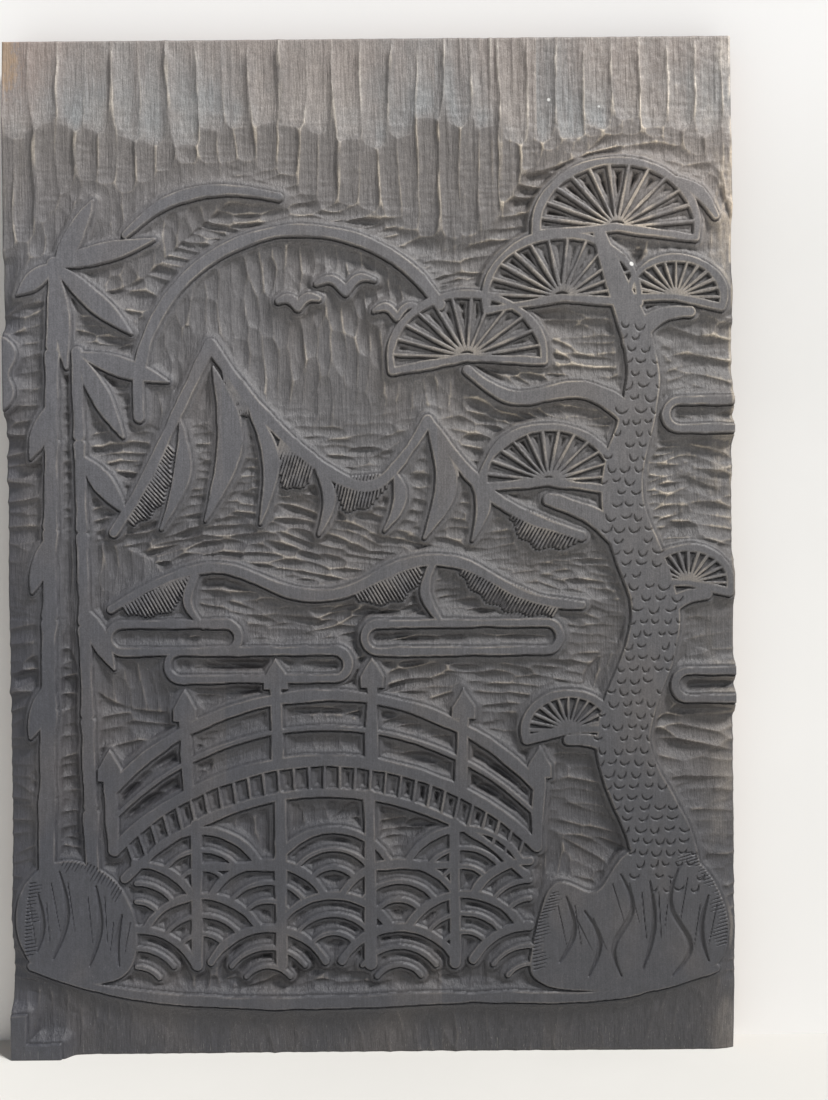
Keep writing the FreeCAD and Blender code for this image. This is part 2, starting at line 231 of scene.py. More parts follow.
def arc_line(field, weight, centre, radius, start, end, height_share=1.0):
    """Draws an arc from one angle to another."""
    count = max(3, math.ceil(abs(end - start) / 15) + 1)
    turns = np.linspace(start, end, count)
    line(field, weight, [on_arc(centre, radius, degrees, height_share) for degrees in turns])


def bow(half_span, rise, middle, foot_row, share):
    """The place at a share of the way along a shallow arch between two equal feet."""
    radius = (half_span ** 2 + rise ** 2) / (2 * rise)
    turn = math.asin(half_span / radius) * (2 * share - 1)
    return middle + radius * math.sin(turn), foot_row + rise - radius * (1 - math.cos(turn))


def comb(field, start, end, length, lean):
    """Hangs fine hatching, longest in its middle, from the straight line between two places."""
    tooth_pitch = 1.4
    (x0, z0), (x1, z1) = on_grid(start), on_grid(end)
    count = round(math.hypot(x1 - x0, z1 - z0) / tooth_pitch)
    for index in range(count):
        share = (index + 0.5) / count
        column = start[0] + (end[0] - start[0]) * share
        row = start[1] + (end[1] - start[1]) * share
        reach = 0.4 + 0.6 * math.sin(math.pi * share) + 0.07 * math.sin(5.3 * index)
        line(field, HAIR, [(column, row), (column + lean * reach, row - length * reach)], 1.0, 0.35)


MOON_CENTRE_SHARE = (41, 91)
MOON_RADIUS_SHARE = 22.5


def moon_and_mountains(field):
    """The moon behind a ridge with two peaks, gullies, and a lower ridge in front."""
    arc_line(field, BOLD, MOON_CENTRE_SHARE, MOON_RADIUS_SHARE, 33, 187)
    ridge_shares = [
        ([(15, 72.5), (18.5, 78), (23, 87), (28.5, 98)], 0.7, 1.0),
        ([(28.5, 98), (33, 91.5), (39, 85), (44.5, 80.5), (50, 78.5), (54, 81.5), (58, 87.5)],
         1.0, 0.9),
        ([(58, 87.5), (62.5, 81.5), (68, 76.2), (79, 71.5)], 0.9, 0.8),
        ([(14.5, 62), (22, 66), (30, 67.5), (38, 64.5), (46, 64), (54, 67.5), (62, 68), (71, 63.5),
          (79, 62)], 0.6, 0.7),
    ]
    for places, start_share, end_share in ridge_shares:
        line(field, BOLD, places, start_share, end_share)
    gully_shares = [
        ((28.8, 95), (31, 86), (27.5, 74), 2.2), ((33.5, 90), (36.5, 83), (35, 73.5), 1.4),
        ((24.2, 88), (24.5, 81), (21.5, 73), 1.5), ((42.5, 81.5), (44.5, 77.5), (43, 72), 1.1),
        ((58.3, 86), (60.5, 79.5), (57.5, 71.5), 1.9), ((53.2, 81), (54.2, 77), (52, 72.5), 1.1),
        ((63.5, 80.5), (65.5, 76.5), (64, 71), 1.2),
    ]
    for *places, width_share in gully_shares:
        swelling_line(field, places, [POINTED, BOLD * width_share, POINTED])
    spur_shares = [[(26, 66.5), (25, 63), (27, 59.5)], [(58.5, 67.8), (57.5, 64), (59.5, 60)]]
    for places in spur_shares:
        line(field, MEDIUM, places, 0.9, 0.5)


def hillside_hatching(field):
    """Combs of hair lines below the two ridges."""
    comb_shares = [
        ((16.6, 74.5), (22.2, 85), 2.6, 2.4), ((45.5, 79.6), (53, 80.2), 4.6, -1.2),
        ((70, 75.6), (79, 71.8), 3.4, -2.0), ((38, 85.6), (42.6, 81.6), 5.0, -1.6),
        ((16, 62.4), (25, 66.6), 2.8, 1.6), ((47.5, 64.2), (56.5, 67.8), 3.0, 1.8),
        ((63, 67.8), (76, 62), 3.0, -1.8), ((30, 95), (33.4, 90.4), 4.0, 0.4),
        ((59, 85.4), (62, 81.4), 3.4, 0.4),
    ]
    for start, end, length, lean in comb_shares:
        comb(field, start, end, length, lean)


def mist(field):
    """Bars of mist with round ends; two of them run out at the right edge."""
    bar_shares = [(16, 30, 58), (24, 45, 54.2), (51, 74, 57.8), (92.5, 102, 88), (93.5, 102, 51)]
    half_height_share = 1.9
    for start, end, row in bar_shares:
        for side in (1, -1):
            line(field, MEDIUM, [(start, row + side * half_height_share),
                                 (end, row + side * half_height_share)])
        arc_line(field, MEDIUM, (start, row), half_height_share, 90, 270)
        if end < 90:
            arc_line(field, MEDIUM, (end, row), half_height_share, -90, 90)


def bridge(field, fine):
    """An arched footbridge: planked deck, beam, two rails on capped posts, and piers."""
    middle_share = 43.5
    deck_shares = (29, 12, middle_share, 29)
    beam_shares = (27.5, 11.6, middle_share, 25)
    rail_shares = (29.5, 13, middle_share, 37)
    lower_rail_shares = (29.3, 12.5, middle_share, 33)
    bow_steps = 10
    for layer, weight, shares in ((field, BOLD, deck_shares), (field, MEDIUM, beam_shares),
                                  (field, BOLD, rail_shares), (fine, FINE, lower_rail_shares)):
        line(layer, weight, [bow(*shares, step / bow_steps) for step in range(bow_steps + 1)])
    post_count = 6
    cap_shares = [(-1.6, 1.4), (-1.6, 3), (0, 5.6), (1.6, 3), (1.6, 1.4)]
    for post in range(post_count):
        foot_place = bow(*deck_shares, post / (post_count - 1))
        head = bow(*rail_shares, post / (post_count - 1))
        line(field, BOLD, [foot_place, (head[0], head[1] + cap_shares[0][1])])
        add_shape(field, [on_grid((head[0] + side, head[1] + rise)) for side, rise in cap_shares])
    plank_count = 30
    for plank in range(1, plank_count):
        line(fine, HAIR, [bow(*shares, plank / plank_count) for shares in (deck_shares, beam_shares)])
    pier_shares = (0.2, 0.4, 0.6, 0.8)
    for share in pier_shares:
        head = bow(*beam_shares, share)
        line(field, BOLD, [head, (head[0], 13)])
    tie_row_share = 26.5
    for left_share, right_share in (pier_shares[:2], pier_shares[2:]):
        left_pier = bow(*beam_shares, left_share)
        right_pier = bow(*beam_shares, right_share)
        line(field, MEDIUM, [(left_pier[0], tie_row_share), (right_pier[0], tie_row_share)])


def waves(field, fine):
    """Rows of scale waves between the rocks, with inner arcs, and the shore below them."""
    radius_share = 9
    hidden = 29.4
    inner_shares = (0.7, 0.42)
    inner_start, inner_end = 143, 37
    row_count = 4
    for row in range(row_count):
        level = 9 + (row_count - 1 - row) * radius_share / 2
        shifted = row % 2
        for scale in range(3 + shifted):
            column = 26.5 + (2 * scale - shifted) * radius_share
            start = 90 if shifted and scale == 0 else 180 - hidden
            end = 90 if shifted and scale == 3 else hidden
            arc_line(field, MEDIUM, (column, level), radius_share, start, end)
            ends = min(start, inner_start), max(end, inner_end)
            for share in inner_shares:
                arc_line(fine, FINE, (column, level), radius_share * share, *ends)
    shore_shares = [(3, 13), (12, 10), (24, 8.2), (38, 7.6), (54, 8), (68, 8.2), (84, 8.6), (97, 12)]
    line(field, BOLD, shore_shares, 0.7, 0.7)


LEFT_ROCK_SHARES = [(2.6, 14), (2.8, 25), (8, 27.5), (14, 25), (17.5, 18), (16, 12), (9, 10.5)]
RIGHT_ROCK_SHARES = [(72, 11), (72.5, 18), (76, 24), (80, 22.5), (84, 27), (92, 28), (97.3, 23),
                     (97.5, 13), (90, 9.5), (80, 9)]


def rocks(field):
    """The black rocks that the bamboo and the pine grow from."""
    for shares in (LEFT_ROCK_SHARES, RIGHT_ROCK_SHARES):
        add_shape(field, smooth_path([on_grid(place) for place in shares], closed=True))


def bamboo(field):
    """Two jointed canes that thin as they rise, with leaves."""
    cane_shares = [((5.2, 24), (7.2, 110), 7, 1.4), ((11.6, 22), (10.2, 98), 6, 1.2)]
    joint_share, segment_share = 0.03, 0.9
    thinning_share = 0.35
    joint_swelling = 1.16
    for foot_place, head, count, width_share in cane_shares:
        for segment in range(count):
            width = BOLD * width_share * (1 - thinning_share * segment / count)
            places, widths = [], []
            for share in (0.0, 0.12, 0.5, 0.88, 1.0):
                along = (segment + joint_share + segment_share * share) / count
                places.append(tuple(a + (b - a) * along for a, b in zip(foot_place, head)))
                widths.append(width * (joint_swelling if share in (0.0, 1.0) else 1.0))
            swelling_line(field, places, widths)
    leaf_shares = [
        (7.3, 109, (-84, -42, 14), 14), (7.2, 109, (-142,), 6.5), (7.4, 108, (62,), 11),
        (10.3, 97, (-18, -62), 13), (10.6, 83, (-52,), 10), (6.2, 72, (-108,), 8),
        (6.7, 90, (-112,), 8), (11, 62, (-65,), 9), (6, 52, (-110,), 8),
    ]
    width_shares = {0.0: 0.5, 0.45: 2.6, 1.0: 0.3}
    widths = [WIDTH / GRID_COLUMNS * share for share in width_shares.values()]
    for column, row, directions, length in leaf_shares:
        for degrees in directions:
            places = [on_arc((column, row), length * along, degrees) for along in width_shares]
            swelling_line(field, places, widths)


TRUNK_SHARES = [(88, 14), (90, 28), (84.5, 43), (89, 60), (84.5, 77), (87.5, 93), (84, 106),
                (81.5, 113)]
TRUNK_WIDTH_SHARES = [6.7, 5.7, 4.8, 4.3, 3.7, 2.8, 2.0, 1.1]


def pine(field, fine):
    """A leaning pine: trunk and branches that thin, and fans of needles."""
    limb_shares = [
        (TRUNK_SHARES, TRUNK_WIDTH_SHARES),
        ([(85.5, 70), (80, 74.5), (74.5, 76.5)], [2.2, 1.5, 1.0]),
        ([(86.5, 87), (79, 91.5), (70, 90.5), (63.5, 94.3)], [2.0, 1.5, 1.1, 0.8]),
        ([(86, 98), (90, 101.5), (94, 102)], [1.7, 1.3, 0.9]),
        ([(88.5, 59), (93, 63), (96, 63.5)], [1.9, 1.3, 0.9]),
        ([(85.5, 40), (80, 43.5), (77, 43.6)], [1.7, 1.1, 0.8]),
    ]
    for places, width_shares in limb_shares:
        swelling_line(field, places, [BOLD * share for share in width_shares])
    fan_shares = [
        (74.5, 79, 9.0, -2), (63.5, 96, 10.5, 4), (76.5, 104, 10.5, 3), (92, 104, 6.5, -8),
        (84, 113.5, 11, -2), (93.5, 65, 5.8, -8), (77, 45, 6, 8),
    ]
    half_spread = 98
    flat_share = 0.82
    needle_count = 13
    for column, row, radius, tilt in fan_shares:
        first, last = 90 + half_spread + tilt, 90 - half_spread + tilt
        arc_line(field, MEDIUM, (column, row), radius, first, last, flat_share)
        for degrees in (first, last):
            line(field, MEDIUM, [on_arc((column, row), radius, degrees, flat_share), (column, row)])
        for needle in range(1, needle_count):
            degrees = first + (last - first) * needle / needle_count
            line(fine, HAIR, [on_arc((column, row), 0.12 * radius, degrees, flat_share),
                              on_arc((column, row), radius, degrees, flat_share)])


def sky(field):
    """Two sweeps of cloud under the cleared band, and three birds."""
    sweep_shares = [[(17, 113), (22, 117), (30, 119), (38, 118)],
                    [(97.5, 115), (94.8, 118.5), (91.5, 120)]]
    for places in sweep_shares:
        line(field, BOLD, places, 0.6, 0.6)
    bird_shares = [(47, 105, 1.0), (54, 101.5, 0.8), (40.5, 103, 0.7)]
    wing_shares = [([(-4, 1.2), (-2, 1.8), (0, 0)], 0.5, 1.0), ([(0, 0), (2, 2), (4, 1.6)], 1.0, 0.5)]
    for column, row, size in bird_shares:
        for wing, start_share, end_share in wing_shares:
            places = [(column + size * aside, row + size * rise) for aside, rise in wing]
            line(field, MEDIUM, places, start_share, end_share)


def paper_stops(field):
    """The raised corner that the paper is laid against, and a rest of uncut edge on the left."""
    stop_width, stop_height, leg = 20.5, 18.5, 6.5
    outside = 2 * REACH
    corners = [(-outside, -outside), (stop_width, -outside), (stop_width, leg), (leg, leg),
               (leg, stop_height), (-outside, stop_height)]
    add_shape(field, [(LEFT + x, FOOT + z) for x, z in corners])
    uncut_edge_shares = [(-3, 88.5), (0.6, 89.8), (1.6, 92), (1.0, 94.4), (1.9, 96.4), (0.4, 99.2),
                         (-3, 98.5)]
    add_shape(field, smooth_path([on_grid(place) for place in uncut_edge_shares], closed=True))


def black_shape_cuts(field):
    """Grooves that model the rocks and the bark inside the black shapes."""
    rock_cut_shares = [
        [(76.5, 22), (77.5, 17), (75.5, 13)], [(84, 25), (85.5, 20), (83, 15), (84, 11)],
        [(92, 26), (91, 20), (93.5, 15), (91, 11)], [(79, 20), (81, 16), (79.5, 11)],
        [(88, 24), (88.5, 18), (87, 12)], [(96, 22), (95, 17), (96, 13)], [(7, 26), (8, 20), (6, 14)],
        [(12, 24), (12.5, 18), (11, 13)], [(4, 23), (4.6, 18), (3.8, 15)],
        [(15.5, 20), (14.8, 16), (15, 13)],
    ]
    cut_width, side_cut_width = 2.2, 1.0
    for places in rock_cut_shares:
        widths = [0.4 * cut_width] + [cut_width] * (len(places) - 2) + [0.4 * cut_width]
        swelling_line(field, places, widths)
        (x0, z0), (x1, z1) = places[0], places[1]
        for side in (-1, 1):
            top_place = x0 + 1.15 * side, z0 - 0.25 * (z0 - z1)
            low_place = x1 + 1.0 * side, z1 - 0.35 * (z0 - z1)
            line(field, side_cut_width, [top_place, low_place], 0.5, 0.3)
    rim_hatching(field)
    bark_scales(field)


def lengths_along(path):
    """The length from a path's start to each of its places."""
    return np.concatenate([[0], np.cumsum(np.hypot(*np.diff(path[:, :2], axis=0).T))])


def rim_hatching(field):
    """Fine cuts side by side, into the rims of the rocks from outside."""
    cut_pitch, cut_radius = 1.5, 0.36
    rim_shares = [
        ([(2.2, 14.5), (2.3, 19), (3.0, 24.5)], 5.5, 1.0),
        ([(8, 28), (12, 26.6), (15.6, 23.2)], -3.0, -5.0),
        ([(72, 12), (72.2, 17), (74.6, 22.6)], 6.0, 1.5),
        ([(93.5, 28), (97.6, 24), (98.3, 15)], -7.0, -2.0),
    ]
    for places, reach_across, reach_up in rim_shares:
        rim = smooth_path([on_grid(place) for place in places])
        along = lengths_along(rim)
        for number, place in enumerate(np.arange(0, along[-1], cut_pitch)):
            x, z = np.interp(place, along, rim[:, 0]), np.interp(place, along, rim[:, 1])
            reach = 0.75 + 0.25 * math.sin(0.8 * number) + 0.12 * math.sin(3.7 * number)
            inside = x + reach_across * reach, z + reach_up * reach
            add_path(field, [(x, z, cut_radius), (*inside, 0.4 * cut_radius)])


def bark_scales(field):
    """Open scales in staggered rows up the trunk, as pine bark is cut."""
    trunk = smooth_path([(*on_grid(place), BOLD * share / 2)
                         for place, share in zip(TRUNK_SHARES, TRUNK_WIDTH_SHARES)])
    along = lengths_along(trunk)
    row_height, scale_pitch, cut_width = 5.0, 5.6, 0.95
    root_length, crown_length = 30, 36
    missing_share = 0.12
    scale_shares = ((198, 0.25), (235, 1), (270, 1.15), (305, 1), (342, 0.25))
    generator = np.random.default_rng(15)
    for number, place in enumerate(np.arange(root_length, along[-1] - crown_length, row_height)):
        x, z, half_width = [np.interp(place, along, values) for values in trunk.T]
        count = max(1, round(2 * half_width / scale_pitch))
        half = half_width / count
        for scale in range(count + number % 2):
            middle = x - half_width + half * (2 * scale + 1 - number % 2 + generator.uniform(-0.2, 0.2))
            reach_across = 0.8 * half * generator.uniform(0.7, 1.1)
            reach_up = 0.62 * row_height * generator.uniform(0.7, 1.25)
            if generator.random() < missing_share:
                continue
            tilt = generator.uniform(-14, 14)
            cut = []
            for degrees, share in scale_shares:
                turn = math.radians(degrees + tilt)
                cut.append((middle + reach_across * math.cos(turn), z + reach_up * math.sin(turn),
                            share * cut_width / 2))
            add_path(field, smooth_path(cut))


def drawing_distances():
    """The distances from all lines, from the bolder ones, and from the grooves in black shapes."""
    main = np.full((up.size, across.size), REACH)
    fine = main.copy()
    grooves = main.copy()
    moon_and_mountains(main)
    mist(main)
    bridge(main, fine)
    waves(main, fine)
    rocks(main)
    bamboo(main)
    pine(main, fine)
    sky(main)
    paper_stops(main)
    hillside_hatching(fine)
    black_shape_cuts(grooves)
    # The knife doesn't follow a line quite evenly.
    main += 0.17 * rough(11, 6, 6) + 0.05 * rough(12, 1.4, 1.4)
    fine += 0.07 * rough(13, 5, 5) + 0.04 * rough(14, 1.2, 1.2)
    return np.minimum(main, fine), main, grooves


# Gouge strokes. Each is a hollow, and where they overlap the deepest stays, so sharp ridges are left.
MARGIN_WIDTH = 9.0
FOOT_BAND_HEIGHT = 30.0
BAND_FOOT = 326.0


def from_sides():
    """The distance of each column from the nearer side of the block."""
    return np.minimum(across - LEFT, RIGHT - across)


def upper_right():
    """1 in the upper right, where the light brings out every cut, and 0 on the left and lower down."""
    return smoothstep(0, 0.45 * WIDTH, across) * smoothstep(0.35 * HEIGHT, 0.6 * HEIGHT, up)[:, None]


def scoop(floor, x, z, turn, length, width, depth, bend=0.0, lopsided=0.0):
    """Cuts one gouge stroke, steeper at its stopped end, and on one side if lopsided."""
    along_x, along_z = math.cos(turn), math.sin(turn)
    reach = width / 2 * (1 + abs(bend))
    reach_x = abs(along_x) * length / 2 + abs(along_z) * reach
    reach_z = abs(along_z) * length / 2 + abs(along_x) * reach
    rows, columns = window(x - reach_x, x + reach_x, z - reach_z, z + reach_z)
    from_x = across[columns] - x
    from_z = up[rows, None] - z
    along = (from_x * along_x + from_z * along_z) / (length / 2)
    side = (from_z * along_x - from_x * along_z) / (width / 2)
    ends = np.where(along > 0, np.abs(along) ** 3, along ** 2)
    off = side - bend * along ** 2 - lopsided
    cut = depth * (1 - ends - (off / (1 - lopsided * np.sign(off))) ** 2)
    np.maximum(floor[rows, columns], cut, out=floor[rows, columns])


def at_place(x, z):
    """The row and column of the raster nearest to a place."""
    row = min(max(round((z - FOOT) / CELL), 0), up.size - 1)
    column = min(max(round((x - LEFT) / CELL), 0), across.size - 1)
    return row, column


def gouged(seed, pitch, step, width, depth, upright=False):
    """Rows of overlapping gouge strokes that drift up and down, or side to side if upright."""
    waviness = 2.5 if upright else 4.5
    drift = waviness * rough(seed, 38, 28)
    slope = np.gradient(drift, CELL, axis=0 if upright else 1)
    strength = 1 + 0.3 * rough(seed + 1, 26, 20)
    floor = np.full(drift.shape, -0.5)
    generator = np.random.default_rng(seed + 2)
    row_ends, along_ends = ((LEFT, RIGHT), (FOOT, TOP)) if upright else ((FOOT, TOP), (LEFT, RIGHT))
    for row in np.arange(row_ends[0] - 3 * pitch, row_ends[1] + 3 * pitch, pitch):
        for start in np.arange(along_ends[0] - step * generator.random(), along_ends[1] + step, step):
            (shift, lift, turn_draw, length_draw, width_draw, depth_draw, bend_draw,
             way) = generator.random(8)
            along = start + 0.7 * step * (shift - 0.5)
            side = row + 0.45 * pitch * (lift - 0.5)
            here = at_place(side, along) if upright else at_place(along, side)
            side += drift[here]
            turn = slope[here] + 0.34 * (turn_draw - 0.5) + math.pi * (way > 0.5)
            sizes = [step * (1.2 + 0.9 * length_draw), width * (0.8 + 0.45 * width_draw),
                     depth * (0.65 + 0.7 * depth_draw) * strength[here]]
            bend = 0.8 * (bend_draw - 0.5)
            if upright:
                scoop(floor, side, along, math.pi / 2 - turn, *sizes, 0.6 * bend)
            else:
                steep_above = 0.34 * math.copysign(1, math.cos(turn))
                scoop(floor, along, side, turn, *sizes, bend, steep_above)
    return floor


def cleared_ground():
    """Gouge strokes, upright and broad inside the moon and in calm places, else across the grain."""
    ripples = gouged(21, pitch=3.5, step=11.5, width=5.4, depth=1.5) + 0.12 * rough(29, 9, 5)
    bold = 0.2 + gouged(32, pitch=5.6, step=19.0, width=8.6, depth=1.9)
    near_sides = smoothstep(30, 14, from_sides())
    in_bold = np.maximum(smoothstep(0.3, 0.7, rough(28, 36, 26)), 0.85 * near_sides)
    ripples = ripples * (1 - in_bold) + bold * in_bold
    broad = 0.2 + gouged(24, pitch=5.6, step=15.0, width=7.6, depth=1.05, upright=True)
    moon_x, moon_z = on_grid(MOON_CENTRE_SHARE)
    moon_radius = MOON_RADIUS_SHARE * WIDTH / GRID_COLUMNS
    from_moon = np.hypot(across - moon_x, up[:, None] - moon_z) - moon_radius
    in_moon = smoothstep(4, -4, from_moon) * smoothstep(moon_z - 22, moon_z + 2, up)[:, None]
    calm = smoothstep(0.8, 0.95, rough(27, 30, 30))
    low = smoothstep(FOOT_BAND_HEIGHT + 8, FOOT_BAND_HEIGHT - 6, up)[:, None]
    share = np.maximum(np.maximum(in_moon, calm), low)
    return ripples * (1 - share) + broad * share * (1 - 0.45 * low)


def flute(floor, centre, half_pitch, end, depth, rise, deepening, ridge, seed, sway_share):
    """Cuts one long flute from its end, where the gouge came out, up to the top edge."""
    rows, columns = window(centre - half_pitch - 4, centre + half_pitch + 4, end - 6, TOP + 1)
    height = up[rows]
    slow, quick, shaky = [rough(seed + number, 1.0, size, np.arange(4.0), height)[:, :1]
                          for number, size in enumerate((22, 7, 1.6))]
    sway = sway_share * (slow + 0.4 * quick) + 0.06 * shaky
    risen = np.maximum(height - end, 0)[:, None]
    share = risen / (TOP - end)
    level = depth + rise * (1 - np.exp(-risen / 6)) + deepening * share
    side = np.minimum(np.abs(across[columns] - centre - sway) / half_pitch, 1.4)
    run_out = np.maximum(0, 4 - (height - end))[:, None]
    chatter = 0.045 * rough(seed + 3, 7, 0.9, across[columns], height) * smoothstep(0.6, 0.1, share)
    ridge = ridge * (1 - 0.8 * smoothstep(TOP - 10, TOP, height))[:, None]
    cut = level + chatter - ridge * (0.45 * side ** 2 + 0.55 * side ** 6) - run_out ** 2 / 14
    np.maximum(floor[rows, columns], cut, out=floor[rows, columns])


def crest_of(distance):
    """The height of the drawing's highest line over each column, widened and evened out."""
    windows_of = np.lib.stride_tricks.sliding_window_view
    reach = round(7 / CELL)
    crest = np.array([up[np.flatnonzero(column < 0).max(initial=0)] for column in distance.T])
    padded = np.pad(np.maximum(crest, BAND_FOOT), 2 * reach, mode="edge")
    widened = windows_of(padded, 2 * reach + 1).max(axis=1)
    return windows_of(widened, 2 * reach + 1).mean(axis=1)


def top_band(crest):
    """The top band, tall flutes over a tier of narrower ones, and the share of the tall ones."""
    generator = np.random.default_rng(31)
    floor = np.full((up.size, across.size), -1.0)
    pitch = 8.3
    for number, place in enumerate(np.arange(LEFT + 0.2 * pitch, RIGHT + pitch / 2, pitch)):
        centre = place + generator.uniform(-0.5, 0.5)
        end = min(crest[at_place(centre, FOOT)[1]] + 5 + 4 * generator.random(), TOP - 44)
        flute(floor, centre, pitch / 2, end, 2.6, 0.7, 0.3, 1.0, 1000 + 4 * number, 0.75)
    lower_tier = floor.copy()
    pitch = 11.4
    for number, place in enumerate(np.arange(LEFT + pitch / 2, RIGHT + pitch / 2, pitch)):
        centre = place + generator.uniform(-0.45, 0.45)
        end = TOP - 42 + 4.5 * math.sin(0.9 * number) + generator.uniform(-2.5, 2.5)
        ridge = 1.35 * (0.65 + 0.35 * smoothstep(LEFT, LEFT + 90, centre))
        flute(floor, centre, pitch / 2, end, 2.9, 1.7, 1.0, ridge, 2000 + 4 * number, 0.6)
    return floor, smoothstep(-0.1, 1.0, floor - lower_tier)


WALL_DEPTH = 1.2
WALL_WIDTH = 0.42


def knife_cuts(distance):
    """The cuts of the knife that goes round each line first, deepest below it and on its left."""
    away_up, away_across = np.gradient(distance, CELL)
    below = np.clip(-0.85 * away_up - 0.5 * away_across, 0, 1)
    middle, half_width = 0.62, 0.3
    first_cut = (0.12 + 0.75 * below) * np.exp(-((distance - middle) / half_width) ** 2)
    second_depth = 0.3 * smoothstep(0.1, 0.6, rough(42, 26, 26)) * (0.3 + below)
    second_middle = 1.75 + 0.12 * rough(43, 8, 8)
    second_half_width = 0.24
    return first_cut + second_depth * np.exp(-((distance - second_middle) / second_half_width) ** 2)


def cleared_depth(distance, crest, band):
    """The ground below the walls of the lines, and the share of the tall flutes."""
    height = up[:, None]
    margin = 2.0 * np.clip(1 - from_sides() / MARGIN_WIDTH, 0, 1) ** 1.6
    foot_fall = 2.9 * np.clip(1 - (height - FOOT) / FOOT_BAND_HEIGHT, 0, 1)

    # Beside each line runs the hollow of one pass along it, and beyond it the ground falls in a bowl.
    beyond = np.maximum(distance - WALL_WIDTH, 0)
    pass_depth, pass_middle, pass_radius = 0.9, 3.2, 11.0
    rise = np.maximum(distance - pass_middle, 0) ** 2 / pass_radius
    beside = pass_depth * smoothstep(0.3, 2.8, beyond) - rise
    bowl_depth, bowl_reach = 2.6, 6.0
    bowl = bowl_depth * (1 - np.exp(-beyond / bowl_reach))
    bowl += (margin * (1 - band) + foot_fall) * smoothstep(0.3, bowl_reach, distance)
    strokes = cleared_ground() * smoothstep(0.8, 3.4, distance)
    ground = np.maximum(beside, bowl - 0.55 + strokes)
    ground *= 1 - 0.85 * smoothstep(crest + 3, crest + 16, height)
    flutes, tall = top_band(crest)
    flutes -= WALL_DEPTH + 0.6 * (1 - smoothstep(2.5, 6.5, distance))
    return np.maximum(ground, flutes), tall


def grain_relief(band):
    """Fibres that stand up, most on the stave whose part of the top band is torn, and ragged cuts."""
    torn_left, torn_right = SPANS[2]
    torn = band * smoothstep(torn_left - 2, torn_left + 6, across)
    torn = torn * smoothstep(torn_right + 4, torn_right - 8, across)
    fibre = (rough(51, 0.8, 15) + 0.6 * rough(52, 1.7, 30)) * (0.012 + 0.02 * band + 0.1 * torn)
    ragged = 0.03 * rough(53, 0.7, 4) + 0.035 * rough(54, 1.5, 1.2)
    return fibre + ragged * (0.6 + 1.3 * upper_right())


def carve():
    """The depth below the printing plane, the distance from the lines, the share of the tall flutes, and
    the knife cuts."""
    distance, main, grooves = drawing_distances()
    crest = crest_of(main)
    height = up[:, None]
    band = smoothstep(crest + 1.5, crest + 6, height)
    knife = knife_cuts(distance)
    ground, tall = cleared_depth(distance, crest, band)
    depth = WALL_DEPTH * smoothstep(0, WALL_WIDTH, distance) + knife
    depth += smoothstep(0, WALL_WIDTH, distance) * (ground + grain_relief(band))
    worn_depth, worn_width = 0.1, 0.4
    worn = worn_depth * np.clip(1 + distance / worn_width, 0, 1) ** 2
    depth = np.maximum(depth, worn * (distance < 0))
    groove_depth, groove_half_width = 1.15, 0.8
    depth = np.maximum(depth, groove_depth * np.sqrt(np.clip(-grooves / groove_half_width, 0, 1)))
    arris_depth, arris_width = 0.45, 0.8
    outer = np.minimum(from_sides(), np.minimum(TOP - height, height - FOOT))
    arris = arris_depth * np.clip(1 - outer / arris_width, 0, 1) ** 2
    return np.maximum(depth, 0) + arris, distance, tall * band, knife


depth, distance, tall_share, knife_cut = carve()


# Meshes
EDGE_INSET = 0.6


def ring_of(grid):
    """A grid's border, anticlockwise as seen from the front, from its lowest left corner."""
    return np.concatenate([grid[0, :-1], grid[:-1, -1], grid[-1, :0:-1], grid[:0:-1, 0]])


def strip(near, far):
    """Quads between two rings of as many points, the far one behind."""
    return np.stack([near, far, np.roll(far, -1), np.roll(near, -1)], axis=1)


def fan_strip(fine, coarse, ratio):
    """Triangles between a fine ring and a coarse one behind it."""
    faces = []
    half = ratio // 2
    fine = np.append(fine, fine[0])
    for index, (here, following) in enumerate(zip(coarse, np.roll(coarse, -1))):
        points = fine[index * ratio:(index + 1) * ratio + 1]
        for step in range(ratio):
            faces.append((points[step], here if step < half else following, points[step + 1]))
        faces.append((points[half], here, following))
    return np.array(faces)


def grid_quads(grid, facing_back=False):
    """Quads of a grid of point numbers whose rows go up and whose columns go right."""
    corners = [grid[:-1, :-1], grid[:-1, 1:], grid[1:, 1:], grid[1:, :-1]]
    if facing_back:
        corners.reverse()
    return np.stack([corner.ravel() for corner in corners], axis=1)


def back_points(x, z, outer_left, outer_right):
    """The back's places: not quite even, and drawn in a little at the block's own edges."""
    back_x, back_z = np.meshgrid(x, z)
    back_x[:, 0] += EDGE_INSET * outer_left
    back_x[:, -1] -= EDGE_INSET * outer_right
    back_z[0] += EDGE_INSET
    back_z[-1] -= EDGE_INSET
    uneven = rough(61, 9, 60, x, z) + 0.5 * rough(62, 3, 25, x, z)
    return np.stack([back_x, BACK - 0.04 * np.abs(uneven), back_z], axis=-1).reshape(-1, 3)


def side_rings(x, z, front_y, outer_left, outer_right, seed):
    """Rings of places round a stave from its face to its back, worn on the block's own edges."""
    ring_x, ring_z = [ring_of(values) for values in np.meshgrid(x, z)]
    start_y = ring_of(front_y) + 0.9
    end_y = BACK - EDGE_INSET
    is_left = (ring_x == x[0]) & outer_left
    is_right = (ring_x == x[-1]) & outer_right
    generator = np.random.default_rng(seed)
    ring_count = 9
    rings = []
    for number in range(ring_count):
        between = 0 < number < ring_count - 1
        wear = 0.09 * np.abs(generator.normal(size=ring_x.size)) * between
        worn_x = ring_x + wear * is_left - wear * is_right
        worn_z = ring_z + 0.3 * wear * (ring_z == FOOT) - wear * (ring_z == TOP)
        y = start_y + (end_y - start_y) * number / (ring_count - 1)
        rings.append(np.stack([worn_x, y, worn_z], axis=1))
    return rings


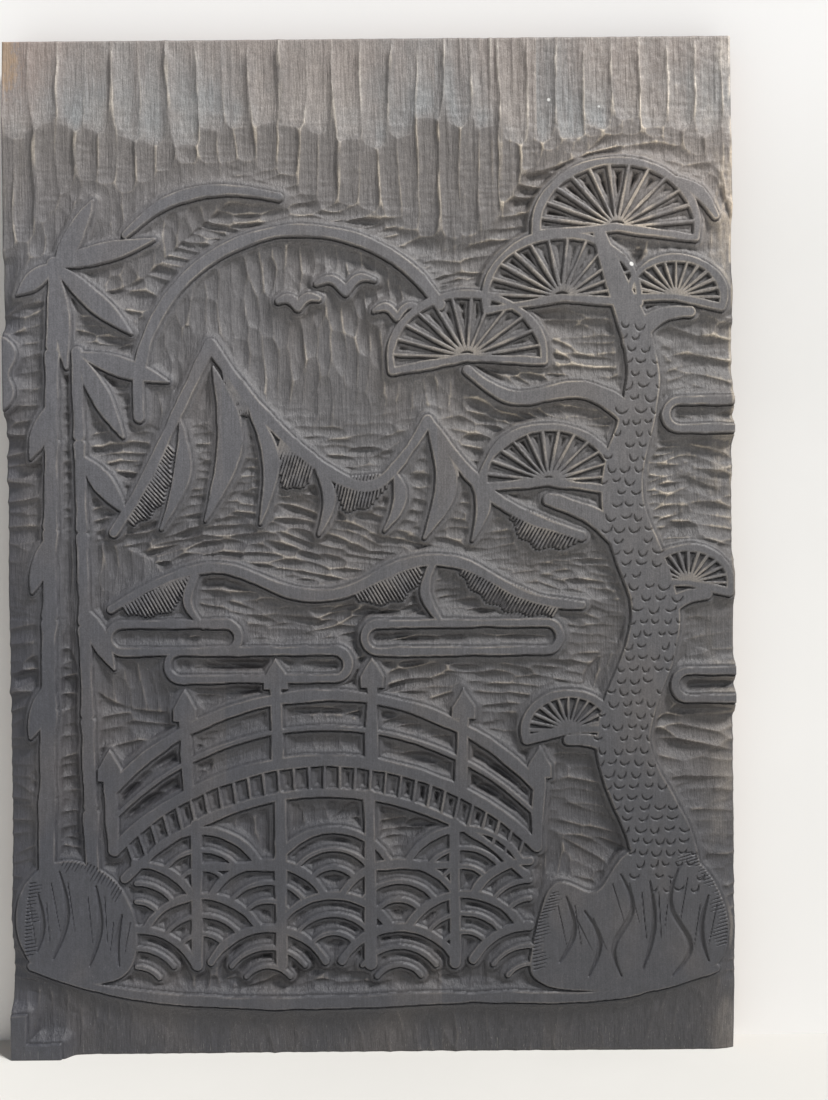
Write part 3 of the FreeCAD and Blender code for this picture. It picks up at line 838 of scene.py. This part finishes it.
def stave_mesh(first, last, outer_left, outer_right):
    """The closed mesh of one stave between two columns of the raster."""
    ratio = round(COARSE_CELL / CELL)
    x, coarse_x, coarse_z = across[first:last + 1], across[first:last + 1:ratio], up[::ratio]
    front_y = PRINTING_PLANE + depth[:, first:last + 1]
    outer = outer_left, outer_right
    face_x, face_z = np.meshgrid(x, up)
    face = np.stack([face_x, front_y, face_z], axis=-1).reshape(-1, 3)
    back = back_points(coarse_x, coarse_z, *outer)
    rings = side_rings(coarse_x, coarse_z, front_y[::ratio, ::ratio], *outer, 63 + first)
    points = np.vstack([face, back, *rings])
    numbers = np.arange(len(points))
    face_grid, back_grid, ring_numbers = np.split(numbers, [len(face), len(face) + len(back)])
    face_grid = face_grid.reshape(face_x.shape)
    back_grid = back_grid.reshape(coarse_z.size, coarse_x.size)
    ring_numbers = [*ring_numbers.reshape(len(rings), -1), ring_of(back_grid)]
    triangles = fan_strip(ring_of(face_grid), ring_numbers[0], ratio)
    quads = [grid_quads(face_grid), grid_quads(back_grid, facing_back=True)]
    quads += [strip(near, far) for near, far in zip(ring_numbers, ring_numbers[1:])]
    return points * MM, np.vstack(quads), triangles


def new_mesh(name, points, quads, triangles):
    """A mesh of quads and triangles."""
    mesh = bpy.data.meshes.new(name)
    mesh.vertices.add(len(points))
    mesh.vertices.foreach_set("co", points.astype(np.float32).ravel())
    corners = np.concatenate([quads.ravel(), triangles.ravel()]).astype(np.int32)
    starts = np.concatenate([4 * np.arange(len(quads)), 4 * len(quads) + 3 * np.arange(len(triangles))])
    mesh.loops.add(len(corners))
    mesh.loops.foreach_set("vertex_index", corners)
    mesh.polygons.add(len(starts))
    mesh.polygons.foreach_set("loop_start", starts.astype(np.int32))
    mesh.update(calc_edges=True)
    return mesh


def numbers_of(items, label, width=1, kind=np.float32):
    """One property of all items of a mesh, a column for each of its numbers."""
    numbers = np.empty(width * len(items), kind)
    items.foreach_get(label, numbers)
    return numbers.reshape(-1, width).T


def add_bake_map(mesh, face_count):
    """A flat map: the face, and beside it in upright strips the back, the sides and the ends."""
    normal_x, normal_y, normal_z = numbers_of(mesh.polygons, "normal", 3)
    sideways = np.abs(normal_x) > np.abs(normal_z)
    is_front = np.arange(len(mesh.polygons)) < face_count
    charts = [is_front, normal_y > 0.7, sideways & (normal_x <= 0), sideways & (normal_x > 0),
              ~sideways & (normal_z <= 0), ~sideways & (normal_z > 0)]
    span_shares = [(0.005, 0.6), (0.61, 0.8), (0.81, 0.865), (0.875, 0.93), (0.94, 0.965),
                   (0.975, 0.995)]
    corner_counts, = numbers_of(mesh.polygons, "loop_total", kind=np.int32)
    chart = np.repeat(np.select(charts, range(len(charts))), corner_counts)
    low, high = np.array(span_shares)[chart].T

    places = numbers_of(mesh.vertices, "co", 3).T
    shares = (places - places.min(0)) / np.ptp(places, axis=0)
    corner_vertices, = numbers_of(mesh.loops, "vertex_index", kind=np.int32)
    x, y, z = shares[corner_vertices].T
    is_flat, is_end = chart < 2, chart > 3
    u = low + (high - low) * np.where(is_flat, x, y)
    v = 0.01 + 0.98 * np.where(is_end, x, z)
    layer = mesh.uv_layers.new(name="OFBake", do_init=False)
    layer.uv.foreach_set("vector", np.stack([u, v], axis=1).astype(np.float32).ravel())


def blurred(field, times):
    """A field smoothed by repeated averaging with its neighbours."""
    for _ in range(times):
        padded = np.pad(field, 1, mode="edge")
        field = (padded[:-2, 1:-1] + padded[2:, 1:-1] + padded[1:-1, :-2] + padded[1:-1, 2:]
                 + 4 * padded[1:-1, 1:-1]) / 8
    return field


def add_attribute(mesh, name, face_values):
    """Stores one number for each point of a mesh: the given ones on the face, and 0 behind it."""
    values = np.zeros(len(mesh.vertices), np.float32)
    values[:face_values.size] = face_values.ravel()
    mesh.attributes.new(name, "FLOAT", "POINT").data.foreach_set("value", values)


# Materials. Colours are screen values from 0 to 255, and places are metres.

def linear(red, green, blue):
    """A colour of screen values, for a shader."""
    shares = [value / 255 for value in (red, green, blue)]
    return (*[s / 12.92 if s <= 0.04045 else ((s + 0.055) / 1.055) ** 2.4 for s in shares], 1.0)


class Shader:
    """A node tree with short calls for what the materials and the world share."""

    def __init__(self, owner, surface="Principled BSDF"):
        owner.use_nodes = True
        self.owner = owner
        self.tree = owner.node_tree
        self.surface = self.tree.nodes[surface]

    @functools.cached_property
    def place(self):
        """Where a point lies on the block."""
        return self.new("TexCoord").outputs["Object"]

    def join(self, source, socket):
        """Links a socket to a source, or sets it; a colour of three numbers is one of screen values."""
        if isinstance(source, bpy.types.NodeSocket):
            self.tree.links.new(source, socket)
        elif socket.type == "RGBA" and len(source) == 3:
            socket.default_value = linear(*source)
        else:
            socket.default_value = source

    def new(self, kind, sources=(), **settings):
        """A new node with its settings, and its inputs joined to sources, in their order or by name."""
        node = self.tree.nodes.new("ShaderNode" + kind)
        for name, value in settings.items():
            setattr(node, name, value)
        for key, source in sources.items() if isinstance(sources, dict) else enumerate(sources):
            self.join(source, node.inputs[key])
        return node

    def attribute(self, name):
        return self.new("Attribute", attribute_name=name).outputs["Fac"]

    def split(self, vector):
        return self.new("SeparateXYZ", [vector]).outputs

    def noise(self, scale, vector=None, detail=3.0, roughness=0.55):
        """Noise of as many lumps to the metre as the scale says."""
        node = self.new("TexNoise", {"Scale": scale, "Detail": detail, "Roughness": roughness})
        self.join(self.place if vector is None else vector, node.inputs["Vector"])
        return node.outputs["Fac"]

    def grain(self, scales, shift=(0.0, 0.0, 0.0), detail=3.0, roughness=0.55, fineness=1.0):
        """Noise with a scale of its own along x, y and z, so that it can run along the fibres."""
        node = self.new("Mapping", {"Vector": self.place, "Location": shift, "Scale": scales})
        return self.noise(fineness, node.outputs[0], detail, roughness)

    def ranged(self, value, low, high, to_low=0.0, to_high=1.0):
        """A smooth rise from one value to another while the input goes from low to high."""
        sources = (value, low, high, to_low, to_high)
        return self.new("MapRange", sources, interpolation_type="SMOOTHSTEP").outputs[0]

    def maths(self, operation, *numbers):
        return self.new("Math", numbers, operation=operation).outputs[0]

    def product(self, first, second):
        return self.maths("MULTIPLY", first, second)

    def plus(self, base, value, factor=1.0):
        """A base and a value times a factor."""
        return self.maths("MULTIPLY_ADD", value, factor, base)

    def length(self, across, along):
        """The length of a line from its two sides."""
        return self.maths("SQRT", self.plus(self.product(along, along), across, across))

    def mixed(self, share, first, second, blend="MIX"):
        """Two colours mixed, by default from the first at a share of 0 to the second at 1."""
        sources = {"Factor": share, "A": first, "B": second}
        return self.new("Mix", sources, data_type="RGBA", blend_type=blend).outputs["Result"]

    def tinted(self, colour, tint):
        return self.mixed(1.0, colour, tint, "MULTIPLY")

    def dress(self, colour, roughness, specular, height=None, bump_distance=0.0):
        """Gives the surface its look, with bumps if there is a height, and hands back its owner."""
        look = {"Base Color": colour, "Roughness": roughness, "Specular IOR Level": specular}
        if height is not None:
            bump = {"Strength": 1.0, "Distance": bump_distance, "Height": height}
            look["Normal"] = self.new("Bump", bump).outputs[0]
        for name, source in look.items():
            self.join(source, self.surface.inputs[name])
        return self.owner


WHITE = (255, 255, 255)
WHITE_FLECKS = ((0.1080, 0.3256, 0.0011), (0.0750, 0.3940, 0.0008), (0.0956, 0.3910, 0.0006))


def bare_flutes(s, z, cloud, shift):
    """Wood that shows grey where ink has worn off, browner towards the top edge."""
    streak = s.grain((260, 260, 12), shift, 4.0)
    bare = s.mixed(s.ranged(cloud, 0.38, 0.62), (133, 135, 136), (149, 142, 137))
    bare = s.mixed(s.ranged(streak, 0.4, 0.7, 0.0, 0.5), bare, (112, 105, 102))
    return s.mixed(s.ranged(z, 0.385, 0.415, 0.0, 0.4), bare, (138, 126, 119))


def worn_ink_with_painted_light(s, x, z, recess, cloud, patch, shift):
    """Ink, paler higher up and to the right, partly thinner ink and partly painted light; worn off in the
    tall flutes; paler on ridges, which is wear and painted highlight; and painted shade in hollows and
    knife cuts.
    """
    # Paler higher up and to the right: partly thinner ink there, partly painted light falling from the
    # upper right.
    level = s.maths("ADD", z, s.plus(-0.03, cloud, 0.06))
    paler_to_upper_right = s.ranged(s.plus(level, x, 0.25), 0.07, 0.34)
    top = s.mixed(paler_to_upper_right, (59, 59, 63), (100, 98, 99))
    ground = s.mixed(paler_to_upper_right, (56, 55, 58), (99, 96, 95))
    ink = s.mixed(recess, top, ground)
    ink = s.mixed(s.product(s.ranged(patch, 0.45, 0.7), 0.25), ink, (104, 96, 90))
    ink = s.mixed(s.product(s.ranged(z, 0.33, 0.365), recess), ink, (108, 103, 100))
    faded = s.attribute("tall")
    colour = s.mixed(faded, ink, bare_flutes(s, z, cloud, shift))
    # Ridge colour: bare wood where ink is worn off, together with a painted highlight, brightest in the
    # tall flutes.
    rubbed_and_highlit = s.mixed(paler_to_upper_right, (122, 115, 108), (186, 174, 157))
    rubbed_and_highlit = s.mixed(faded, rubbed_and_highlit, (214, 206, 196))
    colour = s.mixed(s.product(s.attribute("ridge"), 0.8), colour, rubbed_and_highlit)
    # Painted shade: the hollows and the knife cuts darkened.
    return s.mixed(s.attribute("painted_shade"), colour, s.mixed(paler_to_upper_right, (22, 21, 24), (42, 40, 40)))


def grained(s, colour, z, recess, fibre, mottle, speckle, shift):
    """A colour with fibres, stronger in the ground, dust, blotches, specks and fine scratches."""
    on_top = s.ranged(fibre, 0.3, 0.7, 0.89, 1.1)
    in_ground = s.ranged(fibre, 0.3, 0.7, 0.84, 1.13)
    dust = s.noise(1700.0, detail=2.0)
    colour = s.tinted(colour, s.mixed(recess, on_top, in_ground))
    colour = s.tinted(colour, s.ranged(dust, 0.3, 0.7, 0.83, 1.17))
    colour = s.tinted(colour, s.ranged(mottle, 0.3, 0.7, 0.9, 1.1))
    colour = s.mixed(s.ranged(speckle, 0.66, 0.8, 0.0, 0.3), colour, (150, 145, 140))
    scratch = s.grain((2600, 2600, 110), shift, 2.0)
    scratched = s.product(s.ranged(scratch, 0.66, 0.74, 0.0, 0.5), s.ranged(z, 0.0, 0.03, 1.0, 0.0))
    return s.mixed(scratched, colour, (150, 146, 138))


def weathered_with_painted_light(s, colour, x, z, recess, patch):
    """A colour with a bare upper left corner, painted shade in a darker left margin and a cooler left and
    lower part, and painted light in a paler upper right.
    """
    chipped = s.grain((800, 800, 300), detail=5.0, roughness=0.75)
    browned = s.product(s.ranged(x, -0.15, -0.108, 0.7, 0.0), s.ranged(z, 0.378, 0.408))
    colour = s.mixed(s.product(browned, chipped), colour, (160, 136, 124))
    corner = s.product(s.ranged(x, -0.1495, -0.136, 1.0, 0.0), s.ranged(z, 0.386, 0.41))
    corner = s.ranged(s.plus(corner, chipped, 1.8), 1.35, 1.8)
    colour = s.mixed(s.product(corner, 0.7), colour, (164, 138, 110))
    # Painted shade: the ground of the left margin darkened, away from the light.
    dark = s.ranged(s.plus(x, patch, 0.012), -0.143, -0.131, 0.65, 0.0)
    dark = s.product(s.product(dark, recess), s.ranged(z, 0.3, 0.345, 1.0, 0.0))
    colour = s.mixed(dark, colour, (58, 57, 62))
    # Painted shade: a cooler tint on the left and lower down, away from the light.
    cool = s.product(s.ranged(x, -0.15, 0.1, 1.0, 0.0), s.ranged(z, 0.345, 0.385, 1.0, 0.0))
    colour = s.tinted(colour, s.mixed(cool, WHITE, (0.955, 0.98, 1.04, 1.0)))
    # Painted light: the upper right made paler, brightest over the low tier of flutes.
    pale = s.product(s.ranged(x, 0.035, 0.14), s.ranged(z, 0.322, 0.345))
    pale = s.product(pale, s.ranged(z, 0.372, 0.395, 1.0, 0.4))
    return s.tinted(colour, s.mixed(pale, WHITE, (1.55, 1.5, 1.45, 1.0)))


def flecked(s, colour, x, z):
    """A colour with the white flecks of paint on it."""
    for fleck_x, fleck_z, radius in WHITE_FLECKS:
        away = s.length(s.maths("SUBTRACT", x, fleck_x), s.maths("SUBTRACT", z, fleck_z))
        colour = s.mixed(s.ranged(away, 0.7 * radius, radius, 1.0, 0.0), colour, (222, 221, 218))
    return colour


def inked_face(name, shift):
    """Ink-black carved wood: worn grey and brown in the tall flutes, darker towards the foot, with
    painted light and shade.
    """
    s = Shader(bpy.data.materials.new(name))
    x, _, z = s.split(s.place)
    recess = s.attribute("recess")
    cloud = s.grain((1, 1, 1), shift, 4.0, fineness=14.0)
    patch = s.grain((1, 1, 0.6), shift, 3.0, fineness=30.0)
    fibre = s.grain((1500, 1500, 60), shift, 4.0)
    lifted_fibre = s.grain((850, 850, 70), shift, 4.0, 0.65)
    mottle = s.grain((420, 420, 260), shift, 4.0, 0.7)
    speckle = s.noise(1100.0, detail=2.0)
    colour = worn_ink_with_painted_light(s, x, z, recess, cloud, patch, shift)
    colour = grained(s, colour, z, recess, fibre, mottle, speckle, shift)
    colour = flecked(s, weathered_with_painted_light(s, colour, x, z, recess, patch), x, z)
    height = s.product(speckle, 0.5)
    for texture, in_ground, on_top in ((fibre, 1.1, 0.5), (mottle, 1.8, 0.3), (lifted_fibre, 4.0, 0.4)):
        height = s.plus(height, texture, s.plus(on_top, recess, in_ground))
    return s.dress(colour, s.ranged(cloud, 0.3, 0.7, 0.5, 0.6), 0.6, height, 0.00013)


def overrun(s, wood, y, cloud):
    """Wood with the ink that ran over from the face."""
    return s.mixed(s.ranged(s.plus(y, cloud, 0.016), 0.0, 0.008, 1.0, 0.0), wood, (50, 48, 48))


def toned(colour, share):
    """A colour whose three values are taken down to a share."""
    return tuple(share * value for value in colour)


def bare_wood(name, shift, tone):
    """Aged planed wood."""
    s = Shader(bpy.data.materials.new(name))
    _, y, _ = s.split(s.place)
    ring = s.grain((70, 70, 2.2), shift, 5.0, 0.6)
    pore = s.grain((1800, 1800, 45), shift, 3.0)
    cloud = s.grain((1, 1, 1), shift, 4.0, fineness=11.0)
    wood = s.mixed(s.ranged(ring, 0.35, 0.65), tone, toned(tone, 0.8))
    wood = s.mixed(s.ranged(pore, 0.35, 0.6, 0.5, 0.0), wood, (84, 60, 42))
    wood = s.mixed(s.ranged(cloud, 0.5, 0.75, 0.0, 0.6), wood, (70, 60, 54))
    return s.dress(overrun(s, wood, y, cloud), s.ranged(pore, 0.3, 0.7, 0.62, 0.74), 0.3, pore, 0.00008)


def end_grain(name, shift, tone):
    """The sawn ends: bent year rings round a heart that lies outside the board, pores, and old ink."""
    s = Shader(bpy.data.materials.new(name))
    x, y, _ = s.split(s.place)
    warp = s.grain((1, 1, 1), shift, 3.0, fineness=26.0)
    cloud = s.grain((1, 1, 1), shift, 4.0, fineness=22.0)
    pore = s.noise(1900.0, detail=2.0)
    radius = s.length(s.maths("ADD", x, 0.6 * shift[0] - 0.24), s.maths("ADD", y, 0.07))
    ring_radians_per_metre = 2800
    phase = s.product(s.plus(radius, warp, 0.02), ring_radians_per_metre)
    late = s.ranged(s.maths("SINE", phase), 0.1, 0.95)
    wood = s.mixed(late, toned(tone, 0.82), toned(tone, 0.62))
    wood = s.mixed(s.ranged(pore, 0.35, 0.55, 0.55, 0.0), wood, (62, 44, 32))
    wood = s.mixed(s.ranged(cloud, 0.4, 0.7, 0.1, 0.6), wood, (64, 56, 50))
    return s.dress(overrun(s, wood, y, cloud), 0.75, 0.25, s.plus(pore, late, 0.5), 0.0001)


def bamboo_pin():
    """Split bamboo, for the pins inside the joints."""
    s = Shader(bpy.data.materials.new("bamboo_pin"))
    fibre = s.grain((60, 1500, 1500))
    colour = s.mixed(s.ranged(fibre, 0.35, 0.65), (206, 178, 120), (176, 142, 86))
    return s.dress(colour, 0.6, 0.5, fibre, 0.0001)


# The staves and the pins
STAVE_TONES = ((164, 124, 88), (156, 114, 78), (170, 132, 96), (150, 112, 80))


def rubbed_and_highlit_ridges(curve, swell):
    """Where ink is worn off and where highlights are painted: ridges in the ground, edges of the lines,
    and the block's own edges, more of both to the upper right and on the right, where the light falls.
    """
    lit = upper_right()
    rubbing = np.clip(0.55 + 0.45 * rough(71, 5, 5), 0.1, 1.2)
    ridge = np.maximum(0.5 * smoothstep(0.02, 0.2, -curve), smoothstep(0.0, 0.45, -swell))
    # Painted highlight as well as wear: ridges and line edges lighter where the light from the upper
    # right falls.
    ridge *= smoothstep(1.2, 3.0, distance) * rubbing * (0.8 + 0.5 * lit)
    line_edge = np.exp(-((distance + 0.2) / 0.25) ** 2)
    ridge = np.maximum(ridge, 0.5 * rubbing * (0.85 + 0.7 * lit) * line_edge)
    # The sides worn lighter, more on the right, which also paints a highlight where the light falls.
    worn_and_lit_sides = np.where(across < 0, 0.15, 0.55) * smoothstep(16, 1, from_sides())
    worn_and_lit_sides = worn_and_lit_sides * smoothstep(-0.5, 1.0, rough(72, 4, 9)) * (distance > 0.6)
    ridge = np.maximum(ridge, worn_and_lit_sides * smoothstep(0.25, -0.15, swell))
    # A lighter rim down the right edge: a worn arris and a painted highlight.
    rim = smoothstep(1.7, 0.5, RIGHT - across) * smoothstep(150, 260, up)[:, None]
    return np.maximum(ridge, rim * smoothstep(-0.6, 0.5, rough(73, 2, 4)))


def ink_fields():
    """What steers the ink, the painted shade and the painted highlights over the face, each under the
    name of its attribute.
    """
    curve = depth - blurred(depth, 8)
    swell = depth - blurred(depth, 30)
    # Painted shade in the ground's hollows, stronger to the upper right, where the light brings out every
    # cut.
    hollow_shade = 0.45 * smoothstep(0.14, 0.5, curve) + 0.3 * smoothstep(0.1, 0.6, swell)
    hollow_shade *= 0.9 + 0.6 * upper_right()
    return {
        "recess": np.clip(depth / 2.4, 0, 1),
        "ridge": rubbed_and_highlit_ridges(curve, swell),
        # Painted shade also in the knife cuts, which are deepest below and left of each line, where shade
        # falls.
        "painted_shade": np.maximum(hollow_shade * (distance > 0.8), np.minimum(knife_cut, 0.9)),
        "tall": blurred(tall_share, 60),
    }


def placed(name, data):
    """A new object in the scene."""
    thing = bpy.data.objects.new(name, data)
    bpy.context.scene.collection.objects.link(thing)
    return thing


def build_stave(number, fields):
    """One stave, in place of its solid."""
    name = STAVES[number]
    first, last = [round((side - LEFT) / CELL) for side in SPANS[number]]
    shape = stave_mesh(first, last, number == 0, number == len(STAVES) - 1)
    mesh = new_mesh(name + "_carved", *shape)
    for label, field in fields.items():
        add_attribute(mesh, label, field[:, first:last + 1])
    face_count = (up.size - 1) * (last - first)
    add_bake_map(mesh, face_count)
    shift = (0.37 * number, 0.11 * number, 0.23 * number)
    tone = STAVE_TONES[number]
    for material in (inked_face(name + "_inked_face", shift), bare_wood(name + "_bare_wood", shift, tone),
                     end_grain(name + "_end_grain", shift, tone)):
        mesh.materials.append(material)
    _, _, normal_z = numbers_of(mesh.polygons, "normal", 3)
    slots = np.where(np.abs(normal_z) > 0.7, 2, 1).astype(np.int32)
    slots[:face_count] = 0
    mesh.polygons.foreach_set("material_index", slots)
    mesh.polygons.foreach_set("use_smooth", np.ones(len(slots), bool))
    mesh.set_sharp_from_angle(angle=math.radians(50))
    mesh.update()
    stave = placed(name + "_carved", mesh)
    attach(stave, "root")
    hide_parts(name)


fields = ink_fields()
for number in range(len(STAVES)):
    build_stave(number, fields)
pin_material = bamboo_pin()
for name in PIN_SETS:
    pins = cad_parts[name]
    pins.data.materials.clear()
    pins.data.materials.append(pin_material)


# Surroundings
FLOOR_REACH = 3
WALL_REACH = 2
WALL_HEIGHT = 3
WALL_GAP = 0.0001
OPENING_INSET = 0.001


def stage_plane(name, corners, faces, material):
    """A flat piece of the surroundings, from corners in metres."""
    mesh = bpy.data.meshes.new(name)
    mesh.from_pydata(corners, [], faces)
    mesh.materials.append(material)
    plane = placed(name, mesh)


def wall_with_opening():
    """The corners and faces of a wall that is left out where the block hides it."""
    y = BACK * MM + WALL_GAP
    opening_half_width = WIDTH * MM / 2 - OPENING_INSET
    corners = [(side, y, z) for z in (0, TOP * MM - OPENING_INSET, WALL_HEIGHT)
               for side in (-WALL_REACH, -opening_half_width, opening_half_width, WALL_REACH)]
    cells = [(0, 0), (2, 0), (0, 1), (1, 1), (2, 1)]
    faces = [(4 * row + column, 4 * row + column + 1, 4 * row + column + 5, 4 * row + column + 4)
             for column, row in cells]
    return corners, faces


def painted(name, colour):
    """The shader of matt white paint, and its colour, which has faint marks."""
    s = Shader(bpy.data.materials.new(name))
    marks = s.ranged(s.noise(9.0, detail=4.0), 0.35, 0.7, 0.0, 0.5)
    return s, s.mixed(marks, colour, toned(colour, 0.975))


def painted_wall():
    """The paint of the wall, darker to other surfaces than to the camera, and clear from behind to both
    the camera and the key light."""
    s, tint = painted("painted_wall", (238, 237, 235))
    _, _, z = s.split(s.place)
    # Painted light: the wall made lighter from a little below the block's top upwards, where the block
    # shades it.
    tint = s.mixed(s.ranged(z, 0.33, 0.44), tint, (250, 249, 248))
    rays = s.new("LightPath").outputs
    seen = rays["Is Camera Ray"]
    wall = s.dress(s.mixed(seen, (140, 140, 140), tint), 0.75, 0.2)
    behind = s.new("NewGeometry").outputs["Backfacing"]
    share = s.product(s.maths("MAXIMUM", seen, rays["Is Shadow Ray"]), behind)
    clear = s.new("BsdfTransparent").outputs[0]
    mix = s.new("MixShader", (share, s.surface.outputs[0], clear))
    s.join(mix.outputs[0], s.tree.nodes["Material Output"].inputs["Surface"])
    return wall


def painted_floor():
    """The paint of the floor, greyer away from the block: painted shade, so that it doesn't go white
    there.
    """
    s, tint = painted("painted_floor", (227, 225, 220))
    x, y, _ = s.split(s.place)
    # Painted shade: greyer away from the block, as the light falls off.
    return s.dress(s.mixed(s.ranged(s.length(x, y), 0.25, 1.0), tint, (214, 213, 210)), 0.75, 0.2)


floor_sides = ((-1, -1), (1, -1), (1, 1), (-1, 1))
floor_corners = [(FLOOR_REACH * x, FLOOR_REACH * y, 0) for x, y in floor_sides]
stage_plane("floor", floor_corners, [(0, 1, 2, 3)], painted_floor())
stage_plane("wall", *wall_with_opening(), painted_wall())


def studio_light(name, towards, strength, softness, colour=(1.0, 1.0, 1.0)):
    """An even soft light that comes from a direction; its softness is an angle in degrees."""
    lamp = bpy.data.lights.new(name, "SUN")
    lamp.energy = strength
    lamp.angle = math.radians(softness)
    lamp.color = colour
    light = placed(name, lamp)
    light.location = towards
    tilt = math.atan2(math.hypot(towards[0], towards[1]), towards[2])
    light.rotation_euler = (tilt, 0, math.atan2(towards[1], towards[0]) + math.pi / 2)


studio_light("key_light", (2.2, -1.9, 3.5), 3.8, 11, (1.0, 0.988, 0.975))
studio_light("rear_light", (-0.8, 1.6, 0.25), 1.15, 25)


def studio_world():
    """A pale studio, whose light on the block is weaker and cooler than what the camera sees of it."""
    world = bpy.data.worlds.new("studio")
    bpy.context.scene.world = world
    s = Shader(world, "Background")
    rays = s.new("LightPath").outputs
    seen = s.maths("MAXIMUM", rays["Is Camera Ray"], rays["Is Glossy Ray"])
    fill_strength, seen_strength = 0.27, 0.9
    s.join(s.ranged(seen, 0.0, 1.0, fill_strength, seen_strength), s.surface.inputs["Strength"])
    fill_colour, seen_colour = (0.91, 0.95, 1.0, 1.0), (0.96, 0.96, 0.95, 1.0)
    s.join(s.mixed(rays["Is Camera Ray"], fill_colour, seen_colour), s.surface.inputs["Color"])


studio_world()

# The camera faces the block from near its middle, as the photograph does.
FRAME_HEIGHT_PX = 1100
FOCAL_LENGTH_PX = 1300
SENSOR_LONG_SIDE = 36.0
CAMERA_PLACE = (0.0180, -0.5437, 0.2171)
CAMERA_DEGREES = (90 - 0.84, 0.49, -0.01)
camera_data = bpy.data.cameras.new("camera")
camera_data.sensor_width = SENSOR_LONG_SIDE
camera_data.lens = SENSOR_LONG_SIDE * FOCAL_LENGTH_PX / FRAME_HEIGHT_PX
camera = placed("camera", camera_data)
camera.location = CAMERA_PLACE
camera.rotation_euler = [math.radians(degrees) for degrees in CAMERA_DEGREES]
bpy.context.scene.camera = camera

bpy.context.scene.view_settings.view_transform = "Standard"
